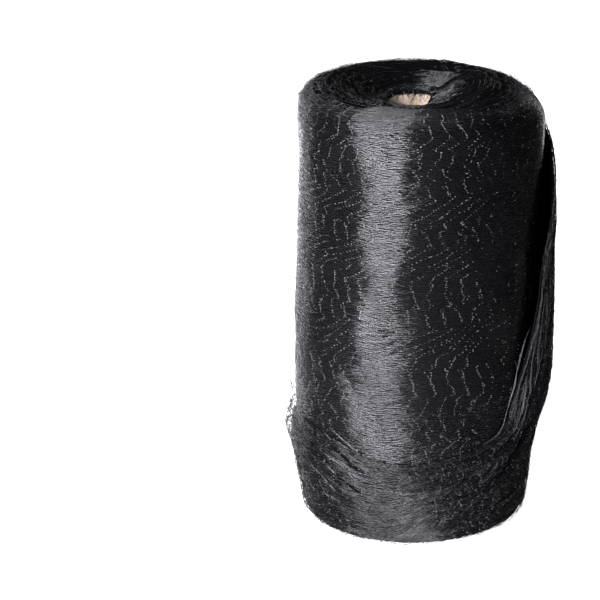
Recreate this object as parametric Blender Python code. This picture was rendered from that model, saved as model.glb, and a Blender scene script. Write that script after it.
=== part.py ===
"""Roll of black bird netting on a cardboard core, standing on its end.

The wound body is a barrel with rounded shoulders, a dished top and a flat ring underneath. The last
turn of the net has come loose: it sags into swagged folds round the foot, stands off the barrel on
the right and ends in a pleated cut edge at the back left. The core's axis is vertical.
Azimuths are degrees about that axis: 0 is +X, -90 is the front.
"""
import math

import bmesh
import bpy
import numpy as np

# Driving dimensions, in metres
ROLL_HEIGHT = 0.4020
CORE_AXIS_X = -0.0030
CORE_INNER_RADIUS = 0.0250
CORE_WALL = 0.0040
CORE_HEIGHT = 0.3875
FIT_GAP = 0.0005

FOOT_SHOULDER = (0.021, 0.024)
TOP_SHOULDER = (0.020, 0.019)
ROLL_STEPS = 80

# The barrel, from foot to top: height, radius, shift of its centre along X
BARREL = (
    (0.024, 0.1004, -0.0030),
    (0.045, 0.1028, -0.0036),
    (0.065, 0.1053, -0.0036),
    (0.086, 0.1076, -0.0024),
    (0.106, 0.1094, -0.0012),
    (0.150, 0.1105, -0.0010),
    (0.200, 0.1104, -0.0013),
    (0.250, 0.1096, -0.0008),
    (0.300, 0.1084, -0.0003),
    (0.345, 0.1073, 0.0008),
    (0.382, 0.1069, 0.0014),
)

# The dished top, from the shoulder inwards: radius, depth under the roll's height
TOP_FACE = (
    (0.0820, 0.0004),
    (0.0720, 0.0012),
    (0.0620, 0.0024),
    (0.0530, 0.0042),
    (0.0450, 0.0060),
    (0.0380, 0.0080),
    (0.0320, 0.0096),
    (0.0280, 0.0106),
    (0.0256, 0.0116),
)
MOUTH_UNDERSIDE = 0.0264
BORE_RINGS = (0.26, 0.13)

# Low swellings of the wound barrel: size, turns round, phase, turns over a metre of height
SWELLINGS = (
    (0.0006, 3, 1.0, 1.5),
    (0.0005, 5, -2.0, -3.6),
    (0.0004, 2, 0.4, 5.0),
)
TOP_TILT = 0.0030
TOP_TILT_AZIMUTH = 150.0
TOP_TILT_START = 0.300

# The raised fold over the right of the top
FOLD_HEIGHT = 0.0045
FOLD_FRONT_FADE = (-70.0, -35.0)
FOLD_CREST_WIDTH = 9.0
FOLD_RADII = (0.024, 0.034, 0.068, 0.092)
# Its crest: radius, azimuth
FOLD_CREST = (
    (0.016, -40.0),
    (0.021, 4.0),
    (0.038, 26.0),
    (0.060, 31.0),
    (0.100, 36.0),
)
MOUTH_OVERHANG = 0.0066
MOUTH_OVERHANG_AZIMUTH = -22.0
MOUTH_OVERHANG_HALF_ANGLE = 40.0
MOUTH_OVERHANG_RADII = (0.030, 0.046)

# The loose lap
LAP_THICKNESS = 0.0015
LAP_GAP = 0.0008
LAP_COLUMNS = 72
# Distances of its first rows from the upper edge; the far rows go on down to the lower edge
LAP_NEAR_ROWS = (0.0, 0.003, 0.006, 0.009, 0.012, 0.0155, 0.019, 0.0225, 0.026,
                 0.030, 0.034, 0.039, 0.045, 0.052)
LAP_FAR_ROWS = 8
# The far rows close up towards the foot by this power
LAP_FAR_POWER = 1.7
# Ribs across the lap, from its tucked start, round the front, to its cut end at the back:
# azimuth and height on the upper edge, azimuth and height on the lower edge
LAP_RIBS = (
    (-203.0, 0.104, -198.0, 0.018),
    (-185.0, 0.116, -185.0, 0.009),
    (-170.0, 0.113, -170.0, 0.007),
    (-156.0, 0.109, -156.0, 0.007),
    (-142.0, 0.106, -142.0, 0.007),
    (-130.0, 0.1012, -130.0, 0.007),
    (-118.0, 0.0940, -118.0, 0.007),
    (-102.0, 0.0876, -102.0, 0.007),
    (-87.0, 0.0886, -86.0, 0.007),
    (-73.0, 0.0922, -71.0, 0.007),
    (-60.0, 0.0972, -56.0, 0.007),
    (-50.0, 0.1040, -42.0, 0.007),
    (-42.0, 0.1160, -28.0, 0.007),
    (-35.5, 0.1350, -14.0, 0.007),
    (-28.5, 0.1580, 0.0, 0.007),
    (-23.0, 0.1900, 14.0, 0.009),
    (-20.5, 0.2400, 29.0, 0.014),
    (-19.5, 0.2950, 44.0, 0.021),
    (-18.0, 0.3450, 58.0, 0.027),
    (-13.0, 0.3780, 71.0, 0.030),
    (2.0, 0.3860, 83.0, 0.031),
    (30.0, 0.3850, 95.0, 0.028),
    (65.0, 0.3870, 106.0, 0.031),
    (100.0, 0.3815, 117.0, 0.027),
    (124.0, 0.3850, 127.0, 0.034),
    (142.0, 0.3770, 135.0, 0.030),
)
# How far the lap stands off on the right: height, distance
LAP_STANDOFF = (
    (0.060, 0.0000),
    (0.092, 0.0006),
    (0.115, 0.0068),
    (0.135, 0.0098),
    (0.160, 0.0108),
    (0.200, 0.0116),
    (0.300, 0.0136),
    (0.330, 0.0126),
    (0.350, 0.0100),
    (0.366, 0.0066),
    (0.390, 0.0034),
)
LAP_STANDOFF_AZIMUTHS = (-42.0, -7.0, 20.0, 95.0)
FOOT_LIFT = 0.0010
FOOT_LIFT_HEIGHT = 0.030
# Folds that follow the upper edge: distance from it, height, half width, first and last rib
LAP_FOLDS = (
    (0.0000, 0.0022, 0.0045, 2.0, 20.0),
    (0.0120, 0.0030, 0.0055, 8.5, 19.0),
    (0.0100, 0.0016, 0.0045, 2.0, 7.0),
    (0.0270, 0.0024, 0.0065, 2.5, 14.5),
    (0.0400, 0.0022, 0.0060, 2.0, 7.5),
    (0.0500, 0.0026, 0.0075, 10.0, 17.0),
)
FOLD_END_FADE = 1.6
# Upright pleats by the cut end: height, pitch in degrees, azimuth where they start
END_PLEATS = (0.0034, 13.0, 84.0)
TUCKED_END_LIFT = 0.0056
TUCKED_END_AZIMUTHS = (-203.0, -187.0, -160.0)

# Colours: red, green, blue, alpha
NET_BLACK = (0.020, 0.020, 0.023, 1.0)
CARDBOARD = (0.62, 0.49, 0.36, 1.0)


def clear_scene():
    for old in list(bpy.data.objects):
        bpy.data.objects.remove(old, do_unlink=True)


def material(name, colour, roughness):
    made = bpy.data.materials.new(name)
    made.use_nodes = True
    shader = made.node_tree.nodes["Principled BSDF"]
    shader.inputs["Base Color"].default_value = colour
    shader.inputs["Roughness"].default_value = roughness
    shader.inputs["Metallic"].default_value = 0.0
    return made


def ramp(value, start, end):
    """Smooth step from 0 at start to 1 at end."""
    part = min(1.0, max(0.0, (value - start) / (end - start)))
    return part * part * (3.0 - 2.0 * part)


def bump(value, half_width):
    """Round hump of height 1 at 0 that ends at the half width."""
    if abs(value) >= half_width:
        return 0.0
    return 0.5 + 0.5 * math.cos(math.pi * value / half_width)


def read_column(table, value, column):
    return float(np.interp(value, [row[0] for row in table], [row[column] for row in table]))


def swelling(azimuth, height):
    total = 0.0
    for size, turns, phase, rise in SWELLINGS:
        total += size * math.sin(turns * azimuth + phase + 2.0 * math.pi * rise * height)
    return total


def barrel_radius(height):
    """Radius of the plain turned form at a height, shoulders included."""
    foot, top = BARREL[0], BARREL[-1]
    if height < foot[0]:
        across, up = FOOT_SHOULDER
        rise = min(1.0, (foot[0] - height) / up)
        return foot[1] - across * (1.0 - math.sqrt(1.0 - rise * rise))
    if height > top[0]:
        across, up = TOP_SHOULDER
        rise = min(1.0, (height - top[0]) / up)
        return top[1] - across * (1.0 - math.sqrt(1.0 - rise * rise))
    return read_column(BARREL, height, 1)


def wall_radius(azimuth, height):
    """Radius of the roll's wall about the core's axis, with its lean and swellings."""
    lean = read_column(BARREL, height, 2) * math.cos(azimuth)
    return barrel_radius(height) + lean + swelling(azimuth, height)


def roll_profile():
    """Half section of the plain turned roll, from the foot's outer edge round to the bore."""
    bore = CORE_INNER_RADIUS + CORE_WALL + FIT_GAP
    points = []
    foot_height, foot_radius = BARREL[0][:2]
    across, up = FOOT_SHOULDER
    for degrees in (-90.0, -68.0, -48.0, -30.0, -14.0):
        angle = math.radians(degrees)
        radius = foot_radius - across * (1.0 - math.cos(angle))
        points.append((radius, foot_height + up * math.sin(angle)))
    for height, radius, _ in BARREL:
        points.append((radius, height))
    top_height, top_radius = BARREL[-1][:2]
    across, up = TOP_SHOULDER
    for degrees in (20.0, 40.0, 62.0, 90.0):
        angle = math.radians(degrees)
        radius = top_radius - across * (1.0 - math.cos(angle))
        points.append((radius, top_height + up * math.sin(angle)))
    for radius, depth in TOP_FACE:
        points.append((radius, ROLL_HEIGHT - depth))
    underside = CORE_HEIGHT + FIT_GAP
    points.append((MOUTH_UNDERSIDE, underside))
    points.append((bore, underside))
    for height in BORE_RINGS:
        points.append((bore, height))
    points.append((bore, 0.0))
    return points


def fold_share(radius, azimuth_degrees):
    """How much of the raised fold lies at a place on the top, from 0 to 1."""
    crest = read_column(FOLD_CREST, radius, 1)
    behind = ramp(azimuth_degrees, crest + FOLD_CREST_WIDTH, crest)
    front = ramp(azimuth_degrees, *FOLD_FRONT_FADE)
    inner, full, fading, outer = FOLD_RADII
    across = ramp(radius, inner, full) * (1.0 - ramp(radius, fading, outer))
    return behind * front * across


def shape_roll_point(point):
    """Turned point to its place on the real roll: lean, swellings, tilted top, raised fold."""
    x, y, height = point
    radius = math.hypot(x, y)
    azimuth = math.atan2(y, x)
    degrees = math.degrees(azimuth)
    outward = ramp(radius, 0.040, 0.085)
    above_floor = ramp(height, 0.0, 0.010)
    new_radius = radius + outward * above_floor * swelling(azimuth, height)
    new_height = height
    tilt = math.cos(azimuth - math.radians(TOP_TILT_AZIMUTH))
    tilt *= ramp(radius, 0.030, 0.090) * ramp(height, TOP_TILT_START, ROLL_HEIGHT)
    new_height += TOP_TILT * tilt
    if height > CORE_HEIGHT + 2.0 * FIT_GAP:
        new_height += FOLD_HEIGHT * fold_share(radius, degrees)
    over_core = radius < CORE_INNER_RADIUS + CORE_WALL
    if height > CORE_HEIGHT and (over_core or height > CORE_HEIGHT + 2.0 * FIT_GAP):
        pull = bump(degrees - MOUTH_OVERHANG_AZIMUTH, MOUTH_OVERHANG_HALF_ANGLE)
        new_radius -= MOUTH_OVERHANG * pull * (1.0 - ramp(radius, *MOUTH_OVERHANG_RADII))
    lean = read_column(BARREL, height, 2) * outward
    return (new_radius * math.cos(azimuth) + lean, new_radius * math.sin(azimuth), new_height)


def finish_object(name, mesh, surface):
    mesh.materials.append(surface)
    made = bpy.data.objects.new(name, mesh)
    made.location = (CORE_AXIS_X, 0.0, 0.0)
    bpy.context.scene.collection.objects.link(made)
    mesh.shade_smooth()
    mesh.set_sharp_from_angle(angle=math.radians(50.0))
    return made


def turned_mesh(name, profile, steps):
    """Closed profile spun once about the core's axis."""
    turned = bmesh.new()
    verts = [turned.verts.new((radius, 0.0, height)) for radius, height in profile]
    edges = [turned.edges.new((verts[i], verts[(i + 1) % len(verts)])) for i in range(len(verts))]
    bmesh.ops.spin(
        turned,
        geom=verts + edges,
        cent=(0.0, 0.0, 0.0),
        axis=(0.0, 0.0, 1.0),
        angle=2.0 * math.pi,
        steps=steps,
        use_merge=True,
    )
    bmesh.ops.recalc_face_normals(turned, faces=turned.faces)
    mesh = bpy.data.meshes.new(name)
    turned.to_mesh(mesh)
    turned.free()
    return mesh


def build_net_roll(surface):
    mesh = turned_mesh("net_roll", roll_profile(), ROLL_STEPS)
    for vertex in mesh.vertices:
        vertex.co = shape_roll_point(vertex.co)
    return finish_object("net_roll", mesh, surface)


def build_core_tube(surface):
    inner = CORE_INNER_RADIUS
    outer = CORE_INNER_RADIUS + CORE_WALL
    profile = ((outer, 0.0), (outer, CORE_HEIGHT), (inner, CORE_HEIGHT), (inner, 0.0))
    return finish_object("core_tube", turned_mesh("core_tube", profile, 48), surface)


def smooth_row(table, place):
    """Catmull-Rom reading of a table of rows at a place counted in rows."""
    index = min(int(place), len(table) - 2)
    part = place - index
    before = np.array(table[max(index - 1, 0)])
    here = np.array(table[index])
    there = np.array(table[index + 1])
    after = np.array(table[min(index + 2, len(table) - 1)])
    return 0.5 * (
        2.0 * here
        + (there - before) * part
        + (2.0 * before - 5.0 * here + 4.0 * there - after) * part ** 2
        + (3.0 * here - before - 3.0 * there + after) * part ** 3
    )


def rib_places(columns):
    """Places along the ribs that part the lap into columns of even width."""
    fine = np.linspace(0.0, len(LAP_RIBS) - 1.0, 500)
    radius = BARREL[6][1]
    rows = np.array([smooth_row(LAP_RIBS, place) for place in fine])
    upper = np.column_stack((np.radians(rows[:, 0]) * radius, rows[:, 1]))
    lower = np.column_stack((np.radians(rows[:, 2]) * radius, rows[:, 3]))
    steps = 0.5 * (
        np.linalg.norm(np.diff(upper, axis=0), axis=1)
        + np.linalg.norm(np.diff(lower, axis=0), axis=1)
    )
    run = np.concatenate(((0.0,), np.cumsum(steps)))
    return np.interp(np.linspace(0.0, run[-1], columns + 1), run, fine)


def standoff(degrees, height):
    """Distance that the lap stands off the barrel on its right side."""
    first, near, far, last = LAP_STANDOFF_AZIMUTHS
    share = ramp(degrees, first, near) * (1.0 - ramp(degrees, far, last))
    return share * read_column(LAP_STANDOFF, height, 1)


def fold_height(place, distance):
    """Height of the swagged folds at a rib place and a distance from the upper edge."""
    total = 0.0
    for centre, height, half_width, first, last in LAP_FOLDS:
        fade = ramp(place, first, first + FOLD_END_FADE) * ramp(place, last, last - FOLD_END_FADE)
        total += height * fade * bump(distance - centre, half_width)
    return total


def end_lift(degrees):
    """Lift of the lap's two ends: upright pleats by the cut end, a slack tucked end."""
    height, pitch, start = END_PLEATS
    pleat = 0.5 - 0.5 * math.cos(2.0 * math.pi * (degrees - start) / pitch)
    cut_end = height * pleat * ramp(degrees, start, start + 2.0 * pitch)
    begin, slack, tight = TUCKED_END_AZIMUTHS
    tucked = TUCKED_END_LIFT * ramp(degrees, begin, slack) * ramp(degrees, tight, slack)
    return cut_end + tucked


def lap_point(place, row):
    """Point of the lap's inner face at a rib place and a row."""
    upper_azimuth, upper_height, lower_azimuth, lower_height = smooth_row(LAP_RIBS, place)
    run = math.hypot(
        math.radians(lower_azimuth - upper_azimuth) * BARREL[6][1], upper_height - lower_height
    )
    near_count = len(LAP_NEAR_ROWS) - 1
    if row <= near_count:
        distance = LAP_NEAR_ROWS[row]
    else:
        start = LAP_NEAR_ROWS[-1]
        left = 1.0 - (row - near_count) / LAP_FAR_ROWS
        distance = start + (run - start) * (1.0 - left ** LAP_FAR_POWER)
    part = distance / run
    degrees = upper_azimuth + (lower_azimuth - upper_azimuth) * part
    height = upper_height + (lower_height - upper_height) * part
    azimuth = math.radians(degrees)
    radius = wall_radius(azimuth, height) + LAP_GAP
    radius += standoff(degrees, height) + fold_height(place, distance)
    radius += end_lift(degrees) * ramp(height, 0.0, 0.06)
    radius += FOOT_LIFT * ramp(height, FOOT_LIFT_HEIGHT, 0.0)
    return (radius * math.cos(azimuth), radius * math.sin(azimuth), height)


def build_loose_lap(surface):
    """Net grid of rib columns and rows, laid over the barrel and given its thickness."""
    places = rib_places(LAP_COLUMNS)
    row_count = len(LAP_NEAR_ROWS) + LAP_FAR_ROWS
    sheet = bmesh.new()
    rows = [[sheet.verts.new(lap_point(place, row)) for place in places] for row in range(row_count)]
    for upper, lower in zip(rows, rows[1:]):
        for i in range(LAP_COLUMNS):
            sheet.faces.new((upper[i], lower[i], lower[i + 1], upper[i + 1]))
    mesh = bpy.data.meshes.new("loose_lap")
    sheet.to_mesh(mesh)
    sheet.free()
    lap = finish_object("loose_lap", mesh, surface)
    thicken = lap.modifiers.new("Thickness", "SOLIDIFY")
    thicken.thickness = LAP_THICKNESS
    thicken.offset = 1.0
    return lap


def main():
    clear_scene()
    net = material("net_black", NET_BLACK, 0.45)
    loose_net = material("loose_net_black", NET_BLACK, 0.45)
    cardboard = material("cardboard", CARDBOARD, 0.90)
    build_net_roll(net)
    build_core_tube(cardboard)
    build_loose_lap(loose_net)


main()
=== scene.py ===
import math
from functools import cache

import bmesh
import bpy
import numpy as np
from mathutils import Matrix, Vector
from mathutils.bvhtree import BVHTree


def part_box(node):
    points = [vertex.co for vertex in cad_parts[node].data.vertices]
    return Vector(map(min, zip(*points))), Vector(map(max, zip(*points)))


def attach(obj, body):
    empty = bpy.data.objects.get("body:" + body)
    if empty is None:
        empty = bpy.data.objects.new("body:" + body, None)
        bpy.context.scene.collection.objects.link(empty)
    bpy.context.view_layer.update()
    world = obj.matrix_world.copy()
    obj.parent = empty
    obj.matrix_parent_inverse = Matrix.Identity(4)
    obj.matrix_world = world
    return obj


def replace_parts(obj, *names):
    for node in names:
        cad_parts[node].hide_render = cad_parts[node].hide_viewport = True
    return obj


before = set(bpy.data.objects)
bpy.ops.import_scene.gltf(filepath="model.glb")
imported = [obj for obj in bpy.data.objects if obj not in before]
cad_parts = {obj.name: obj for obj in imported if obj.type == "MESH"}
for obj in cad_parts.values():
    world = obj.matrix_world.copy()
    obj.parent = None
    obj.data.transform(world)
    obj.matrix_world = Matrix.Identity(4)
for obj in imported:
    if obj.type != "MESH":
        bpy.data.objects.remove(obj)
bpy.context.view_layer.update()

bl_info = {
    "name": "Bird Netting Roll",
    "version": (1, 0, 0),
    "blender": (4, 5, 0),
    "location": "View3D > Sidebar > Netting Roll",
    "description": "Dresses a roll of knotted bird netting: skin, threads, knots, lap, core, stage",
    "category": "Object",
}

CORE_LOW, CORE_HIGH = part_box("core_tube")
CORE_X = (CORE_LOW.x + CORE_HIGH.x) / 2.0
CORE_OUTER = (CORE_HIGH.x - CORE_LOW.x) / 2.0
TURN = 2.0 * math.pi
MEAN_RADIUS = 0.11
STAGE_CENTRE = Vector((CORE_X, 0.0, 0.2))
# UV map of the skins and the core: round the roll and along its section, in metres
RUN_MAP = "Net Run"

# The wound skin's grid
SKIN_COLUMNS = 240
SPINE_RADIUS = 0.070
SPINE_LOW = 0.030
SPINE_HIGH = 0.366
BARREL_STEP = 0.0038

# Knot rows round the roll, and their drift round it: height, shift in radians
ROWS_ROUND = 46
ROW_DRIFT = (
    (0.000, -0.02), (0.060, 0.06), (0.100, 0.02), (0.108, 0.09), (0.110, 0.03), (0.119, 0.00),
    (0.121, 0.06), (0.132, 0.02), (0.134, -0.04), (0.150, 0.03), (0.152, 0.09), (0.165, 0.05),
    (0.176, 0.00), (0.178, 0.06), (0.188, 0.09), (0.196, 0.24), (0.198, 0.19), (0.215, 0.50),
    (0.217, 0.43), (0.232, 0.40), (0.234, 0.47), (0.257, 0.42), (0.270, 0.62), (0.272, 0.56),
    (0.288, 0.90), (0.290, 0.84), (0.303, 0.80), (0.305, 0.87), (0.311, 0.84), (0.333, 1.22),
    (0.335, 1.16), (0.346, 1.10), (0.348, 1.17), (0.358, 1.12), (0.360, 1.18), (0.372, 1.22),
    (0.374, 1.15), (0.384, 1.30), (0.396, 1.24), (0.410, 1.34),
)

# Edge of the net that is drawn over the mouth: distance from the axis, lean and height
MOUTH_EDGE = 0.0106
MOUTH_EDGE_LEAN = 0.10
MOUTH_EDGE_HEIGHT = 0.3862
# The net is drawn in where that edge is nearer to the axis than the first of these radii, and its
# turned-back part stays inside the second
MOUTH_RADIUS = 0.0262
MOUTH_TURN_BACK = 0.0244
# Threads on the top stay outside this radius
TOP_INNER = 0.0335

# Ribs across the loose lap, from its tucked start round the front to its cut end at the back:
# azimuth and height on the upper edge, azimuth and height on the lower edge
LAP_RIBS = np.array((
    (-203.0, 0.104, -198.0, 0.018),
    (-185.0, 0.116, -185.0, 0.009),
    (-170.0, 0.113, -170.0, 0.007),
    (-156.0, 0.109, -156.0, 0.007),
    (-142.0, 0.106, -142.0, 0.007),
    (-130.0, 0.1012, -130.0, 0.007),
    (-118.0, 0.0940, -118.0, 0.007),
    (-102.0, 0.0876, -102.0, 0.007),
    (-87.0, 0.0886, -86.0, 0.007),
    (-73.0, 0.0922, -71.0, 0.007),
    (-60.0, 0.0972, -56.0, 0.007),
    (-50.0, 0.1040, -42.0, 0.007),
    (-43.0, 0.1170, -28.0, 0.007),
    (-39.0, 0.1370, -14.0, 0.007),
    (-36.0, 0.1580, 0.0, 0.007),
    (-30.0, 0.1900, 14.0, 0.009),
    (-22.8, 0.2380, 29.0, 0.014),
    (-20.0, 0.2700, 44.0, 0.021),
    (-13.0, 0.3040, 58.0, 0.027),
    (-5.0, 0.3400, 71.0, 0.030),
    (14.0, 0.3640, 83.0, 0.031),
    (34.0, 0.3780, 95.0, 0.028),
    (65.0, 0.3870, 106.0, 0.031),
    (100.0, 0.3815, 117.0, 0.027),
    (124.0, 0.3850, 127.0, 0.034),
    (142.0, 0.3770, 135.0, 0.030),
))
LAP_COLUMNS = 220
LAP_ROWS = 60
LAP_SKIN_THICKNESS = 0.0012
LAP_MEAN_RADIUS = 0.112
# Knot rows along the lap are this far apart
LAP_MESH = 0.015


def blend_step(value, start, end):
    """Smooth step from 0 at start to 1 at end, for arrays too."""
    part = np.clip((value - start) / (end - start), 0.0, 1.0)
    return part * part * (3.0 - 2.0 * part)


def signed_degrees(azimuth):
    """Azimuth in degrees, from -180 to 180."""
    return np.degrees(np.mod(azimuth + math.pi, TURN) - math.pi)


def round_axis(azimuth, radius, height):
    """Points round the axis of the core."""
    return np.stack((CORE_X + radius * np.cos(azimuth), radius * np.sin(azimuth), height), -1)


def grid_value(values, first, second, part, row, row_part):
    """Value between two columns of a grid and between a row and the next."""
    low = values[first, row] * (1.0 - part) + values[second, row] * part
    high = values[first, row + 1] * (1.0 - part) + values[second, row + 1] * part
    return low * (1.0 - row_part) + high * row_part


def wave_field(azimuth, height, seed, waves, turns, rises):
    """Seeded sum of waves round and up the roll, of about unit size, that closes on itself."""
    rng = np.random.default_rng(seed)
    total = np.zeros(np.broadcast(azimuth, height).shape)
    for _ in range(waves):
        round_count = rng.integers(turns[0], turns[1] + 1)
        rise = rng.uniform(rises[0], rises[1]) * rng.choice((-1.0, 1.0))
        phase = rng.uniform(0.0, TURN)
        total = total + np.cos(round_count * azimuth + TURN * rise * height + phase)
    return total * math.sqrt(2.0 / waves)


def node_bvh(name):
    """Faces of one of the frame's solids, to cast rays at."""
    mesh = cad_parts[name].data
    return BVHTree.FromPolygons([v.co for v in mesh.vertices], [p.vertices for p in mesh.polygons])


def smooth_rounds(values, passes):
    """Averages a closed row of columns with its neighbours."""
    for _ in range(passes):
        values = 0.25 * np.roll(values, 1, 0) + 0.5 * values + 0.25 * np.roll(values, -1, 0)
    return values


def skin_stations():
    """Rays from inside the wound body: kind, then origin and way in radius and height."""
    def slanted(kind, radius, height, degrees):
        """Station whose ray leaves at an angle over the horizontal."""
        angle = math.radians(degrees)
        return kind, radius, height, math.cos(angle), math.sin(angle)

    steps = round((SPINE_HIGH - SPINE_LOW) / BARREL_STEP)
    stations = [("foot", radius, SPINE_LOW, 0.0, -1.0)
                for radius in np.linspace(0.034, SPINE_RADIUS, 9, endpoint=False)]
    stations += [slanted("side", SPINE_RADIUS, SPINE_LOW, degrees)
                 for degrees in np.linspace(-90.0, 0.0, 16, endpoint=False)]
    stations += [("side", SPINE_RADIUS, height, 1.0, 0.0)
                 for height in np.linspace(SPINE_LOW, SPINE_HIGH, steps, endpoint=False)]
    stations += [slanted("side", SPINE_RADIUS, SPINE_HIGH, degrees)
                 for degrees in np.linspace(0.0, 90.0, 20, endpoint=False)]
    stations += [("top", radius, SPINE_HIGH, 0.0, 1.0)
                 for radius in np.linspace(SPINE_RADIUS, 0.033, 22)]
    stations += [slanted("lip", 0.0315, 0.3896, degrees) for degrees in np.linspace(105.0, 210.0, 9)]
    stations += [("bore", 0.050, height, -1.0, 0.0) for height in (0.380, 0.300, 0.200, 0.100, 0.004)]
    return stations


def shoulder_swell(azimuth, height):
    """Slack net that stands out under the crown on the right, where the loose lap leaves it."""
    degrees = signed_degrees(azimuth)
    round_it = blend_step(degrees, -36.0, -8.0) * (1.0 - blend_step(degrees, 20.0, 48.0))
    up_it = blend_step(height, 0.262, 0.350) * (1.0 - blend_step(height, 0.376, 0.396))
    return 0.0050 * round_it * up_it


# How far the left side is drawn in under the crown: height, depth
LEFT_WAIST = (
    (0.148, 0.0), (0.166, 0.0015), (0.190, 0.0020), (0.225, 0.0030), (0.256, 0.0038), (0.285, 0.0036),
    (0.308, 0.0042), (0.332, 0.0033), (0.352, 0.0024), (0.372, 0.0014), (0.392, 0.0),
)


def left_waist(azimuth, height):
    """Depth of the shallow waist on the left side."""
    return np.interp(height, *zip(*LEFT_WAIST)) * blend_step(-np.cos(azimuth), 0.25, 0.92)


def top_fold(azimuth, radius):
    """Raised fold of net on the right of the top, with a steep edge that runs out from the mouth."""
    degrees = signed_degrees(azimuth)
    steep = 1.0 - blend_step(degrees, 42.0, 54.0)
    soft = blend_step(degrees, -72.0, -10.0)
    reach = blend_step(radius, 0.026, 0.036) * (1.0 - blend_step(radius, 0.062, 0.090))
    return 0.0042 * steep * soft * reach


class WoundForm:
    """The wound body read from its solid as a smooth grid of columns round the axis and stations."""

    def __init__(self):
        solid = node_bvh("net_roll")
        self.stations = skin_stations()
        self.kinds = np.array([station[0] for station in self.stations])
        count = len(self.stations)
        self.azimuths = np.linspace(0.0, TURN, SKIN_COLUMNS, endpoint=False)
        grid = np.zeros((SKIN_COLUMNS, count, 2))
        for i, azimuth in enumerate(self.azimuths):
            across, forward = math.cos(azimuth), math.sin(azimuth)
            for j, (_, radius, height, out, up) in enumerate(self.stations):
                start = Vector((CORE_X + radius * across, radius * forward, height))
                way = Vector((out * across, out * forward, up))
                hit = solid.ray_cast(start, way)[0]
                if hit is None:
                    raise RuntimeError(f"the wound body has no wall at station {j}")
                grid[i, j] = (math.hypot(hit.x - CORE_X, hit.y), hit.z)
        soft = smooth_rounds(grid, 7)
        moving = np.isin(self.kinds, ("side", "top"))
        for _ in range(4):
            mean = 0.25 * np.roll(soft, 1, 1) + 0.5 * soft + 0.25 * np.roll(soft, -1, 1)
            soft[:, moving] = mean[:, moving]
        self.radius, self.height = soft[:, :, 0], soft[:, :, 1]
        self.radius += shoulder_swell(self.azimuths[:, None], self.height) * moving
        self.radius -= left_waist(self.azimuths[:, None], self.height) * moving
        self.height += top_fold(self.azimuths[:, None], self.radius) * (self.kinds == "top")
        steps = np.hypot(np.diff(self.radius.mean(0)), np.diff(self.height.mean(0)))
        self.run = np.concatenate(((0.0,), np.cumsum(steps)))
        self.side = np.flatnonzero(self.kinds == "side")
        self.side_heights = self.height.mean(0)[self.side]
        self.top = np.flatnonzero(np.isin(self.kinds, ("top", "lip")))
        self.crown = np.arange(self.top[0] - 14, self.top[-1] + 1)
        self.crown_radii = self.radius.mean(0)[self.crown]
        self.drape_mouth()

    def drape_mouth(self):
        """Draws the net over the right part of the mouth, as far as a straight edge across the bore."""
        lip = self.top[self.kinds[self.top] == "lip"]
        for column, azimuth in enumerate(self.azimuths):
            across = math.cos(azimuth) - MOUTH_EDGE_LEAN * math.sin(azimuth)
            if across < 0.2:
                continue
            ragged = 0.0005 * math.sin(41.0 * azimuth) + 0.0004 * math.sin(67.0 * azimuth + 1.0)
            edge = MOUTH_EDGE / across + ragged
            root, root_height = self.radius[column, lip[0]], self.height[column, lip[0]]
            share = float(blend_step(MOUTH_RADIUS - edge, 0.0, 0.0040))
            course = [(root + (edge - root) * place,
                       root_height + (MOUTH_EDGE_HEIGHT - root_height) * place ** 2.2)
                      for place in np.linspace(0.0, 1.0, 6)]
            course += [(min(edge + inset, MOUTH_TURN_BACK), MOUTH_EDGE_HEIGHT + under)
                       for inset, under in ((0.0004, -0.0028), (0.0040, -0.0015))]
            for j, (reach, drop) in zip(lip, course):
                self.radius[column, j] += share * (reach - self.radius[column, j])
                self.height[column, j] += share * (drop - self.height[column, j])

    def read(self, azimuth, station):
        """Radius and height at azimuths and fractional stations."""
        column = np.mod(azimuth / TURN, 1.0) * SKIN_COLUMNS
        first = np.floor(column).astype(int) % SKIN_COLUMNS
        second = (first + 1) % SKIN_COLUMNS
        part = column - np.floor(column)
        row = np.clip(np.floor(station).astype(int), 0, len(self.stations) - 2)
        return [grid_value(values, first, second, part, row, station - row)
                for values in (self.radius, self.height)]

    def station_at_run(self, run):
        """Fractional station at a distance along the section."""
        return np.interp(run, self.run, np.arange(len(self.run)))

    def station_at_radius(self, radius):
        """Fractional station at a distance from the axis on the crown."""
        return np.interp(-radius, -self.crown_radii, self.crown)

    def place(self, azimuth, station, lift):
        """Points and outward normals at azimuths and stations, lifted off the surface."""
        step = 0.5
        radius, height = self.read(azimuth, station)
        r_up, h_up = self.read(azimuth, station + step)
        r_down, h_down = self.read(azimuth, station - step)
        d_r, d_h = r_up - r_down, h_up - h_down
        size = np.hypot(d_r, d_h) + 1e-9
        out, up = d_h / size, -d_r / size
        normals = np.stack((out * np.cos(azimuth), out * np.sin(azimuth), up), -1)
        return round_axis(azimuth, radius + out * lift, height + up * lift), normals


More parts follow.
